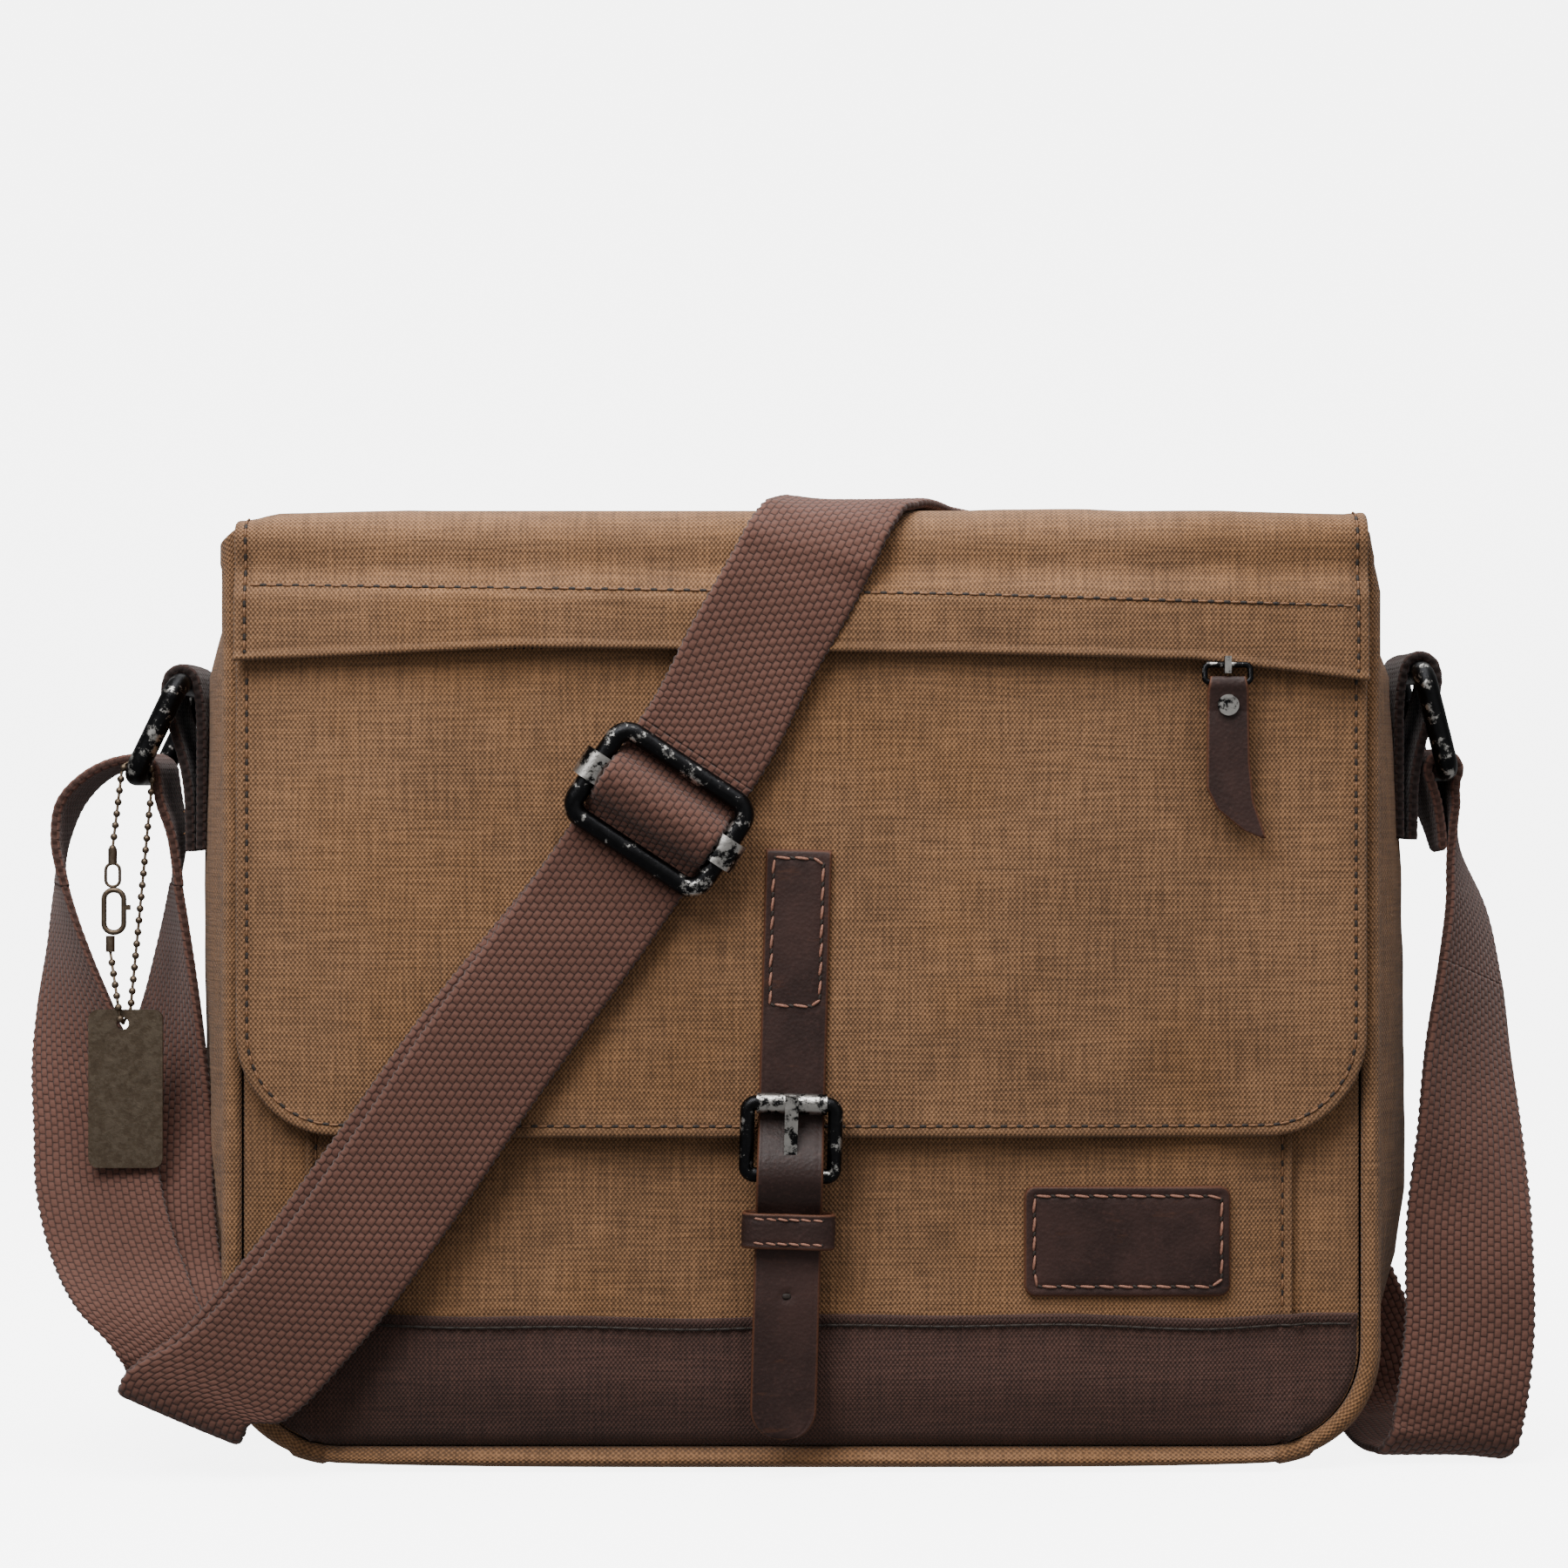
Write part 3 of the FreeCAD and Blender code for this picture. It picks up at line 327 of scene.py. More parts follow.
def plated(name, base, bare, wear, rough=0.33, scale=95.0):
    """Plated metal rubbed through to paler metal in patches."""
    f = Finish(name)
    place = f.place()
    patches = f.noise(place, scale, 6.0, 0.68)
    pits = f.noise(place, 620.0, 3.0, 0.6)
    bevel = f.tree.nodes.new("ShaderNodeNewGeometry").outputs["Pointiness"]
    rubbed = f.calc("ADD", patches, f.calc("MULTIPLY", f.band(bevel, 0.48, 0.60), 0.16))
    rubbed = f.band(rubbed, 0.66 - wear, 0.74 - wear)
    tone = f.mix(rubbed, tuple(base), tuple(bare))
    tone = f.mix(f.calc("MULTIPLY", f.band(pits, 0.52, 0.66), 0.35), tone, shade(base, 0.6))
    f.link(tone, "Base Color")
    f.link(f.calc("ADD", f.band(patches, 0.3, 0.7, rough - 0.06, rough + 0.12),
                  f.calc("MULTIPLY", rubbed, -0.08)), "Roughness")
    f.link(f.bump(f.calc("ADD", f.calc("MULTIPLY", patches, 2.0), pits), 0.00016, 0.5), "Normal")
    f.set(metallic=1.0)
    return f.material


def spun(name, base):
    """Waxed sewing thread with a fine twist."""
    f = Finish(name)
    place = f.place()
    twist = f.noise(f.stretch(place, 1400.0, 1400.0, 1400.0), 1.0, 2.0)
    f.link(f.mix(f.band(twist, 0.3, 0.7), shade(base, 0.72), shade(base, 1.25)), "Base Color")
    f.link(f.band(twist, 0.3, 0.7, 0.62, 0.78), "Roughness")
    f.link(f.bump(twist, 0.0001, 0.5), "Normal")
    return f.material


def plain_board(name, base):
    """Fibre board with a paper-like grain."""
    f = Finish(name)
    place = f.place()
    fibre = f.noise(f.stretch(place, 240.0, 900.0, 240.0), 1.0, 4.0)
    f.link(f.mix(f.band(fibre, 0.35, 0.7), shade(base, 0.8), shade(base, 1.2)), "Base Color")
    f.link(f.band(fibre, 0.3, 0.7, 0.75, 0.88), "Roughness")
    f.link(f.bump(fibre, 0.0002, 0.5), "Normal")
    return f.material


FINISHES = {}


def finish(name):
    """The bag's materials, made once each from the colours and sizes in the scene."""
    if name not in FINISHES:
        c = bpy.context.scene.bag_finishes
        strap = bpy.context.scene.bag_strap
        makers = {
            "waxed_canvas": lambda: woven("waxed_canvas", c.canvas, 0.00136),
            "dark_canvas": lambda: woven("dark_canvas", c.dark_canvas, 0.00136, 0.75, 0.3, 0.80),
            "cotton_lining": lambda: woven("cotton_lining", c.lining, 0.0008, 0.2, 0.0, 0.88, 0.0001),
            "zip_cloth": lambda: woven("zip_cloth", c.dark_canvas, 0.0007, 0.3, 0.0, 0.8, 0.0001),
            "strap_webbing": lambda: ribbed("strap_webbing", c.webbing, strap),
            "tab_webbing": lambda: ribbed("tab_webbing", c.tab_webbing, strap, 0.9),
            "oiled_leather": lambda: hide("oiled_leather", c.leather, c.leather_edge),
            "strap_leather": lambda: hide("strap_leather", c.leather, c.leather_edge, 0.5, False),
            "worn_black_metal": lambda: plated("worn_black_metal", c.metal, (0.52, 0.50, 0.47), 0.075, 0.34, 210.0),
            "aged_bronze": lambda: plated("aged_bronze", c.bronze, (0.165, 0.128, 0.092), 0.05, 0.46, 420.0),
            "leather_thread": lambda: spun("leather_thread", c.thread),
            "canvas_thread": lambda: spun("canvas_thread", c.canvas_thread),
            # near-black: painted shade for the needle holes and the strap's punched hole, and the real dark thread of
            # the base band
            "dark_thread_and_hole_shade": lambda: spun("dark_thread_and_hole_shade", (0.020, 0.012, 0.008)),
            "base_board": lambda: plain_board("base_board", c.lining),
        }
        FINISHES[name] = makers[name]()
    return FINISHES[name]


# ---- making sheets -------------------------------------------------------------------------
def smooth(x):
    x = np.clip(x, 0.0, 1.0)
    return x * x * (3 - 2 * x)


def fill_mesh(name, points, faces, finish_name, cut=None, edge=None):
    """A smooth-shaded object from points in millimetres; cut holds each point's place in the flat cloth."""
    mesh = bpy.data.meshes.new(name)
    mesh.from_pydata((np.asarray(points, dtype=float) * MM).tolist(), [], faces)
    if cut is not None:
        layer = mesh.uv_layers.new(name=MAP)
        corner = np.empty(len(mesh.loops), dtype=np.int32)
        mesh.loops.foreach_get("vertex_index", corner)
        layer.data.foreach_set("uv", (np.asarray(cut, dtype=float)[corner] * MM).ravel())
    rim = mesh.attributes.new("edge", "FLOAT", "POINT")
    rim.data.foreach_set("value", (np.full(len(points), 20.0) if edge is None else np.asarray(edge)) * MM)
    mesh.polygons.foreach_set("use_smooth", [True] * len(mesh.polygons))
    mesh.materials.append(finish(finish_name))
    obj = bpy.data.objects.new(name, mesh)
    bpy.context.scene.collection.objects.link(obj)
    return obj


def closed_sheet(name, a, b, outer, inner, finish_name, edge=None):
    """A closed piece of cloth from its outer and inner faces, each a grid of points."""
    rows, cols = a.shape
    count = rows * cols
    index = np.arange(count).reshape(rows, cols)
    face = np.stack([index[:-1, :-1], index[:-1, 1:], index[1:, 1:], index[1:, :-1]], -1).reshape(-1, 4)
    rim = np.concatenate([index[0, :], index[1:, -1], index[-1, -2::-1], index[-2:0:-1, 0]])
    after = np.roll(rim, -1)
    wall = np.stack([after, rim, rim + count, after + count], -1)
    faces = np.concatenate([face, face[:, ::-1] + count, wall])
    points = np.concatenate([outer.reshape(-1, 3), inner.reshape(-1, 3)])
    cut = np.stack([a.ravel(), b.ravel()], -1)
    edges = None if edge is None else np.concatenate([edge.ravel(), edge.ravel()])
    return fill_mesh(name, points, faces.tolist(), finish_name, np.concatenate([cut, cut]), edges)


def stations(low, high, step, fine=(0.0, 0.4, 0.9, 1.5, 2.2, 2.8, 3.3, 3.8, 4.6, 6.2, 9.0)):
    """Places from low to high: close together near both ends, step apart between."""
    fine = np.array(fine)
    n = max(2, int(round((high - low - 2 * fine[-1]) / step)))
    middle = np.linspace(low + fine[-1], high - fine[-1], n + 1)[1:-1]
    return np.concatenate([low + fine, middle, high - fine[::-1]])


def rounded_grid(half, low, high, corner, step, centre=0.0, corner_top=0.0):
    """Rows of (x, z) filling an upright rounded plate, and how far each point is from its edge."""
    xs, zs = stations(-half, half, step), stations(low, high, step)
    lead = 9.0
    width = np.full(len(zs), half)
    for i, z in enumerate(zs):
        for r, d in ((corner, z - low), (corner_top, high - z)):
            if r > 0 and d < r:
                width[i] = half - r + math.sqrt(max(r * r - (r - d) ** 2, 0.0))
    shift = np.minimum(half - np.abs(xs), lead)[None, :]
    inner = (np.abs(xs)[None, :] - (half - lead)) < 0
    w = width[:, None]
    x = np.where(inner, xs[None, :] * (w - lead) / (half - lead), np.sign(xs)[None, :] * (w - shift))
    z = np.repeat(zs[:, None], len(xs), axis=1)
    d = np.minimum(np.minimum(half - np.abs(x), z - low), high - z)
    for r, cz, side in ((corner, low + corner, -1), (corner_top, high - corner_top, 1)):
        if r > 0:
            px, pz = np.abs(x) - (half - r), (z - cz) * side
            d = np.where((px > 0) & (pz > 0), np.minimum(d, r - np.hypot(px, pz)), d)
    return x + centre, z, np.maximum(d, 0.0)


def unevenness(x, y, z, scale, seed=0.0):
    """Soft lumps of about the given size, from -1 to 1, the same every time."""
    flat = np.stack([x.ravel(), y.ravel(), z.ravel()], -1) / scale + seed
    return np.array([noise.noise(Vector(p)) for p in flat]).reshape(x.shape)


def round_edge(d, thickness, radius=1.0):
    """Half the thickness of a cut or folded edge, d away from it."""
    return thickness / 2 * np.sqrt(np.clip(1 - (1 - np.minimum(d / radius, 1)) ** 2, 0.10, 1))


def hem(d, lift, row=3.4, width=2.6):
    """A turned hem: a raised fold along the edge and a dent along its row of stitches."""
    return lift * smooth((row + width - d) / width) - 0.55 * np.exp(-((d - row) / 0.75) ** 2)


def facing(rows_x, rows_y, rows_z):
    return np.stack([rows_x, rows_y, rows_z], -1)


# ---- shapes that several pieces share ---------------------------------------------------------
POCKET_LEFT, POCKET_RIGHT = -151.7, 150.4
STRIP_END = 154.0


def mm(value):
    return value / MM


def panel_y(x, z):
    """Outer face of the front panel."""
    s = bpy.context.scene.bag_body
    d = np.minimum(mm(s.half_width) - np.abs(x), z - mm(s.seam))
    return mm(s.front) + 0.3 - 0.4 * smooth(d / 3.0) - 0.8 * smooth((d - 6) / 60)


def pocket_y(x, z):
    """Outer face of the pocket, full in the middle and sewn down along its sides and foot."""
    e = np.minimum(x - POCKET_LEFT, POCKET_RIGHT - x)
    full = smooth(e / 30.0) * smooth((z - 4.0) / 26.0)
    fold = 0.9 * smooth((3.6 - e) / 2.4) - 0.5 * np.exp(-((e - 3.3) / 0.8) ** 2)
    return -48.9 - 5.8 * full - np.where(e > 0, fold, 0.0)


def body_face_y(x, z, reach=0.6):
    """Outermost canvas on the front of the body under the flap, easing onto the pocket over the reach."""
    e = np.minimum(x - POCKET_LEFT, POCKET_RIGHT - x)
    on = smooth((e + reach) / (reach + 0.8))
    return panel_y(x, z) * (1 - on) + pocket_y(np.clip(x, POCKET_LEFT + 0.5, POCKET_RIGHT - 0.5), z) * on


def flap_ease(x):
    """How far the flap lies back towards the bag away from its middle."""
    s = bpy.context.scene.bag_flap
    return mm(s.ease) * np.minimum(np.abs(x) / mm(s.half_width), 1.0) ** 2.5


def flap_face_y(x, z):
    return mm(bpy.context.scene.bag_flap.front) + flap_ease(x)


def flap_front_y(x, z):
    """Outer face of the flap's front with its soft lumps and the curl of its lower corners."""
    f = bpy.context.scene.bag_flap
    x, z = np.atleast_1d(np.asarray(x, dtype=float)), np.atleast_1d(np.asarray(z, dtype=float))
    low = mm(f.low)
    d = np.minimum(mm(f.half_width) - np.abs(x), z - low)
    lumps = 0.85 * unevenness(x, 0 * x, z, 46.0, 0.4) + 0.35 * unevenness(x, 0 * x, z, 15.0, 4.4)
    lumps = np.maximum(lumps, -0.40) * smooth(d / 14)
    curl = 1.2 * smooth((30 - (z - low)) / 30) * smooth((np.abs(x) - 100) / 60)
    return flap_face_y(x, z) + lumps + curl


def lip_z(x):
    """Height of the zip lip's lower edge, arched and lower at the right."""
    return np.interp(x, (-172, -84, 2, 47, 119, 172), (247.3, 251.2, 250.0, 249.4, 247.6, 241.2))


def flap_over(x, s, lift):
    """Points of the flap's outside: s runs from the hinge forward over the crown and down."""
    f = bpy.context.scene.bag_flap
    r, front, crown = mm(f.bend), mm(f.front), mm(f.crown)
    y_turn, z_turn = front + r, crown - r
    run = mm(bpy.context.scene.bag_body.back) - y_turn
    arc = r * math.pi / 2
    t = np.clip((s - run) / arc, 0, 1) * math.pi / 2
    y = np.where(s < run, y_turn + run - s, y_turn - (r + lift) * np.sin(t))
    z = np.where(s < run, crown + lift, z_turn + (r + lift) * np.cos(t))
    down = np.maximum(s - run - arc, 0)
    z = z - down
    sag = 1.6 * np.sin(np.pi * np.clip(s / run, 0, 1))
    ends = 1.0 * smooth((np.abs(x) - 120) / 52) + 2.6 * smooth((-x - 157) / 15)
    sag = sag + ends * (1 - smooth((s - run) / arc))
    y = y + flap_ease(x) * smooth((s - run) / (arc + 20))
    return np.stack([x + np.zeros_like(y), y, z - sag], -1)


def flap_run():
    """Lengths along the flap: where the bend starts, and where the front face starts."""
    f = bpy.context.scene.bag_flap
    run = mm(bpy.context.scene.bag_body.back) - (mm(f.front) + mm(f.bend))
    return run, run + mm(f.bend) * math.pi / 2


def normals(face):
    """Outward direction at every point of a grid."""
    across, along = np.gradient(face, axis=1), np.gradient(face, axis=0)
    n = np.cross(across, along)
    return n / np.maximum(np.linalg.norm(n, axis=-1, keepdims=True), 1e-9)


def cloth(name, a, b, face, thickness, finish_name, edge=None, lift=0.0, radius=1.0):
    """A sheet whose outer side follows the face; lift raises folds out of it and sinks stitch rows."""
    d = np.full(a.shape, 30.0) if edge is None else edge
    n = normals(face)
    half = round_edge(d, thickness, radius)[..., None]
    middle = face - n * thickness / 2
    raised = np.asarray(lift)[..., None] if np.ndim(lift) else lift
    return closed_sheet(name, a, b, middle + n * (half + raised), middle - n * half, finish_name, d)


def keep(obj, body, slot, *nodes):
    """The piece rides on its body and stands for its nodes; slot is not used."""
    if nodes:
        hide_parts(*nodes)
    if body:
        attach(obj, body)
    return obj


def swept(x, line):
    """A grid of points with the given x, and each row's height and depth from the line."""
    return np.stack([x, np.broadcast_to(line[:, 1:2], x.shape), np.broadcast_to(line[:, 2:3], x.shape)], -1)


def bent(obj, slot, first, second, start, end, *nodes):
    """The piece stands for its nodes, its place baked into its points; it is not bent, and first, second, start and
    end are not used.
    """
    keep(obj, None, slot, *nodes)
    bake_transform(obj)
    return obj


def smooth_line(points, step, lead=0, tail=0):
    """Points every step along a smooth curve through rows of numbers, whose first three are a place.

    The first lead rows and the last tail rows only steer the curve's ends.
    """
    p = np.asarray(points, dtype=float)
    t = np.concatenate([[0], np.cumsum(np.linalg.norm(np.diff(p[:, :3], axis=0), axis=1))])
    slope = np.gradient(p, t, axis=0)
    fine = np.append(np.arange(t[lead], t[-1 - tail], step / 3.0), t[-1 - tail])
    i = np.clip(np.searchsorted(t, fine, side="right") - 1, 0, len(t) - 2)
    h = (t[i + 1] - t[i])[:, None]
    u = ((fine - t[i]) / h[:, 0])[:, None]
    line = ((1 + 2 * u) * (1 - u) ** 2 * p[i] + u * (1 - u) ** 2 * h * slope[i]
            + u * u * (3 - 2 * u) * p[i + 1] + u * u * (u - 1) * h * slope[i + 1])
    run = np.concatenate([[0], np.cumsum(np.linalg.norm(np.diff(line[:, :3], axis=0), axis=1))])
    even = np.linspace(0, run[-1], max(2, int(round(run[-1] / step)) + 1))
    return np.stack([np.interp(even, run, line[:, k]) for k in range(p.shape[1])], -1), even


# ---- stitches ------------------------------------------------------------------------------
class Thread:
    """Collects the stitches of one piece, and the needle holes between them, painted as dark marks of shade."""

    def __init__(self):
        self.points, self.faces = [], []

    def capsule(self, start, end, normal, radius, arch, flat=1.0):
        sides = 6
        steps = ((0.0, 0.30), (0.10, 0.78), (0.28, 1.0), (0.5, 1.04), (0.72, 1.0), (0.90, 0.78), (1.0, 0.30))
        along = end - start
        span = np.linalg.norm(along)
        if span < 1e-6:
            return
        along = along / span
        n = normal - along * np.dot(normal, along)
        n = n / np.linalg.norm(n)
        side = np.cross(along, n)
        first = len(self.points)
        for t, r in steps:
            middle = start + along * span * t + n * arch * math.sin(math.pi * t)
            for k in range(sides):
                q = 2 * math.pi * k / sides
                self.points.append(middle + (side * math.cos(q) + n * math.sin(q) * flat) * radius * r)
        for i in range(len(steps) - 1):
            for k in range(sides):
                p, q = first + i * sides + k, first + i * sides + (k + 1) % sides
                self.faces.append((p, q, q + sides, p + sides))
        self.faces.append(tuple(first + k for k in reversed(range(sides))))
        self.faces.append(tuple(first + (len(steps) - 1) * sides + k for k in range(sides)))

    def row(self, line, normal, pitch, size, radius, arch=0.3, slant=0.0, flat=1.0, shift=0.0):
        """Stitches at every pitch along a line, size long, leaning a little."""
        line = np.asarray(line, dtype=float)
        normal = np.broadcast_to(np.asarray(normal, dtype=float), line.shape)
        run = np.concatenate([[0], np.cumsum(np.linalg.norm(np.diff(line, axis=0), axis=1))])
        count = max(1, int(run[-1] / pitch))
        for i in range(count):
            c = (i + 0.5 + shift) * run[-1] / count
            wander = 0.12 * noise.noise(Vector((c * 0.37, line[0, 0] * 0.1, line[0, 2] * 0.1)))
            ends = [np.array([np.interp(c + s * size / 2, run, line[:, k]) for k in range(3)]) for s in (-1, 1)]
            n = np.array([np.interp(c, run, normal[:, k]) for k in range(3)])
            lean = np.cross(ends[1] - ends[0], n)
            lean = lean / max(np.linalg.norm(lean), 1e-9) * (slant + wander)
            self.capsule(ends[0] - lean, ends[1] + lean, n, radius, arch, flat)

    def make(self, name, finish_name, body, slot):
        return keep(fill_mesh(name, self.points, self.faces, finish_name), body, slot)


def sewn(name, rows, body, slot, thread="canvas_thread", pitch=4.9, size=3.3, radius=0.36, hole=0.42,
         slant=0.0, arch=0.25):
    """Rows of stitches with a needle hole at each end of every stitch, painted as a dark mark of shade."""
    stitches, holes = Thread(), Thread()
    for line, normal in rows:
        stitches.row(line, normal, pitch, size, radius, arch, slant)
        # the needle holes are flat dark marks of painted shade
        holes.row(line, normal, pitch, pitch - size + 0.5, hole, 0.0, slant, 0.55, 0.5)
    stitches.make(name + "_thread", thread, body, slot)
    holes.make(name + "_holes", "dark_thread_and_hole_shade", body, slot)


def outline(half, low, high, corner, inset, centre=0.0):
    """(x, z) points down the left side, along the foot and up the right side, set in from the edge."""
    h, z0, r = half - inset, low + inset, max(corner - inset, 0.5)
    pts = [(-h, high)]
    for a0, cx in ((180, -h + r), (270, h - r)):
        pts += [(cx + r * math.cos(math.radians(a0 + a)), z0 + r + r * math.sin(math.radians(a0 + a)))
                for a in range(0, 91, 6)]
    pts.append((h, high))
    return np.array(pts) + (centre, 0.0)


def dense(points, step=2.0):
    p = np.asarray(points, dtype=float)
    run = np.concatenate([[0], np.cumsum(np.linalg.norm(np.diff(p, axis=0), axis=1))])
    t = np.linspace(0, run[-1], max(2, int(run[-1] / step)))
    return np.stack([np.interp(t, run, p[:, k]) for k in range(p.shape[1])], -1)


FORWARD = (0.0, -1.0, 0.0)


# ---- the body ------------------------------------------------------------------------------
GUSSET_ROLL = ((-46.2, -0.6), (-47.7, 0.3), (-48.7, 1.4), (-49.2, 2.9), (-48.9, 4.4), (-47.7, 5.8),
               (-45.8, 6.7), (-42.8, 7.2))
SWELL_LEFT = ((8, 0.35), (30, 0.46), (45, 0.65), (62, 0.87), (85, 0.95), (120, 1.0), (200, 0.98), (243, 0.90),
              (262, 0.62), (289, 0.42))
SWELL_RIGHT = ((8, 0.30), (30, 0.39), (45, 0.60), (62, 0.86), (82, 0.98), (120, 1.0), (180, 0.90), (243, 0.79),
               (262, 0.42), (289, 0.14))


def gusset_grid(top):
    """The gusset's outside: rows follow the seam down, along the base and up, columns go front to back."""
    s = bpy.context.scene.bag_body
    half, low, r = mm(s.half_width), mm(s.seam), mm(s.corner)
    zs = stations(low + r, top, 5.0, (0.0, 0.5, 1.2, 2.2, 3.2, 4.0, 5.0, 7.0, 9.5))
    down = [(-half, z, -1.0, 0.0) for z in zs[::-1]]
    arcs = []
    for cx, a0 in ((-half + r, 180), (half - r, 270)):
        arcs.append([(cx + r * math.cos(math.radians(a)), low + r + r * math.sin(math.radians(a)),
                      math.cos(math.radians(a)), math.sin(math.radians(a)))
                     for a in np.arange(a0 + 3.0, a0 + 90.0, 3.0)])
    foot = [(x, low, 0.0, -1.0) for x in np.linspace(-half + r, half - r, 62)]
    up = [(half, z, 1.0, 0.0) for z in zs]
    path = np.array(down + arcs[0] + foot + arcs[1] + up)
    x, z, nx, nz = path.T
    b = np.concatenate([[0], np.cumsum(np.hypot(np.diff(x), np.diff(z)))])
    roll = np.array(GUSSET_ROLL)
    y_mid = mm(s.front + s.back) / 2
    middle = np.linspace(-39.0, 42.0, 19)
    y = np.concatenate([roll[:, 0], middle, (2 * y_mid - roll[:, 0])[::-1]])
    base = np.concatenate([roll[:, 1], np.full(19, 7.3), roll[::-1, 1]])
    u = np.clip(np.abs(y - y_mid) / mm(s.back - s.front) * 2, 0, 1)
    swell = np.where(x < 0, mm(s.swell_left) * np.interp(z, *zip(*SWELL_LEFT)),
                     mm(s.swell_right) * np.interp(z, *zip(*SWELL_RIGHT)))
    on_foot = nz < -0.99
    swell = np.where(z < low + r, np.minimum(swell, 5.0 + 0.12 * z), swell)
    swell = np.where(on_foot, 7.3 - 2.6 * (np.abs(x) / STRIP_END) ** 4, swell)
    bow = swell[:, None] * (1 - u[None, :] ** 2)
    out = np.maximum(bow, 0) + np.maximum(base[None, :] * np.minimum(swell / 7.3, 1)[:, None] - bow, 0) ** 1.0
    lap = 0.9 * smooth((STRIP_END - np.abs(x)) / 0.8) * (nz < -0.2)
    out = out + lap[:, None] * smooth((out - 1) / 2) - 0.9 * (nz < -0.99)[:, None] * smooth((out - 1) / 2)
    dip = 4.5 * (1 - u[None, :] ** 2) * smooth((z[:, None] - 250) / 38) * (nz[:, None] == 0)
    dip = dip + 5.0 * smooth(out / 9) * smooth((z[:, None] - 268) / 20) * (nz[:, None] == 0)
    side = smooth((z - 30) / 40)[:, None] * (1 - u[None, :] ** 4)
    px, py, pz = np.broadcast_arrays(x[:, None], y[None, :], z[:, None])
    out = out + side * (1.5 * unevenness(px, py, pz, 55.0, 3.1) + 0.5 * unevenness(px, py, pz, 17.0, 7.7))
    face = facing(px + nx[:, None] * out, py + 0.0 * out, np.maximum(pz + nz[:, None] * out - dip, 0.15))
    forward = (y < y_mid) & (base < 7.25)
    face[..., 1] -= 4.2 * on_foot[:, None] * forward[None, :] * np.sin(np.pi * smooth(out / 8.0)) ** 0.7
    section = face[len(z) // 8]
    girth = np.concatenate([[0], np.cumsum(np.linalg.norm(np.diff(section, axis=0), axis=1))])
    a, bb = np.broadcast_arrays(girth[None, :], b[:, None])
    return face, a.copy(), bb.copy(), z


class BAG_OT_body(bpy.types.Operator):
    """Sew the front, back and gusset canvas into one sagging shell"""
    bl_idname = "bag.body"
    bl_label = "Canvas body"

    def execute(self, context):
        s = context.scene.bag_body
        half, low, top, corner = mm(s.half_width), mm(s.seam), mm(s.mouth), mm(s.corner)
        thick = mm(s.canvas)
        x, z, d = rounded_grid(half, low, top, corner, 5.0)
        lumps = 0.7 * unevenness(x, 0 * x, z, 48.0, 1.3) * smooth(d / 20)
        front = facing(x, panel_y(x, z) + np.maximum(lumps, -0.4), z)
        mouth = hem(top - z, 0.5, 9.0, 2.0)
        piece = cloth("front_panel_cloth", x, z, front, thick, "waxed_canvas", d, mouth, 0.3)
        keep(piece, "bag", "canvas", "front_panel")
        back_y = mm(s.back) - 0.9 + 0.9 * smooth(d / 3) - 0.35 + 0.35 * unevenness(x, 0 * x, z, 60.0, 5.0)
        back = facing(-x, back_y, z)
        piece = cloth("back_panel_cloth", -x, z, back, thick, "waxed_canvas", d, 0.2 * mouth)
        keep(piece, "bag", "canvas", "back_panel")
        face, a, b, _ = gusset_grid(top)
        rim = np.minimum(b, b.max() - b)
        seam = np.minimum(a - a.min(), a.max() - a)
        piece = cloth("gusset_cloth", a, b, face, thick, "waxed_canvas", np.minimum(rim, seam * 1.6 + 1.0),
                      hem(rim, 0.5, 9.0, 2.0) * smooth(seam / 4))
        keep(piece, "bag", "canvas", "side_gusset_left", "side_gusset_right", "bottom_gusset")
        rows = []
        for side in (-1, 1):
            line = [(side * (STRIP_END - 2.2), y, 0.0) for y in np.linspace(-49.0, 50, 40)]
            c = half - corner
            reach = math.acos((STRIP_END - 2.2 - c) / (corner + 6.2))
            foot = low + corner - (corner + 6.2) * math.sin(reach)
            rows.append(([(p[0], p[1], foot) for p in line[2:-2]], (side * 0.4, 0, -0.9)))
        sewn("bottom_strip", rows, "bag", "canvas")
        return {"FINISHED"}


class BAG_OT_lining(bpy.types.Operator):
    """Hang the cotton lining inside the body and give the base board its finish"""
    bl_idname = "bag.lining"
    bl_label = "Lining and base board"

    def execute(self, context):
        s = context.scene.bag_body
        half, low, top, corner = mm(s.half_width), mm(s.seam), mm(s.mouth) - 6.0, mm(s.corner)
        x, z, d = rounded_grid(half - 1.0, low - 4.0, top, corner, 8.0)
        inside = mm(s.front) + 2.4 + 0.4 * unevenness(x, 0 * x, z, 40.0, 9.0)
        piece = cloth("lining_front", x, z, facing(x, inside, z), 0.8, "cotton_lining", d)
        keep(piece, "bag", "lining", "lining")
        inside = mm(s.back) - 3.0 + 0.3 * unevenness(x, 0 * x, z, 40.0, 4.0)
        keep(cloth("lining_back", -x, z, facing(-x, inside, z), 0.8, "cotton_lining", d), "bag", "lining")
        face, a, b, _ = gusset_grid(top)
        inner = face - normals(face) * 2.2
        inner[..., 1] = np.clip(inner[..., 1], mm(s.front) + 2.6, mm(s.back) - 2.9)
        keep(cloth("lining_gusset", a, b, inner, 0.8, "cotton_lining"), "bag", "lining")
        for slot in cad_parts["base_stiffener"].material_slots:
            slot.material = finish("base_board")
        return {"FINISHED"}


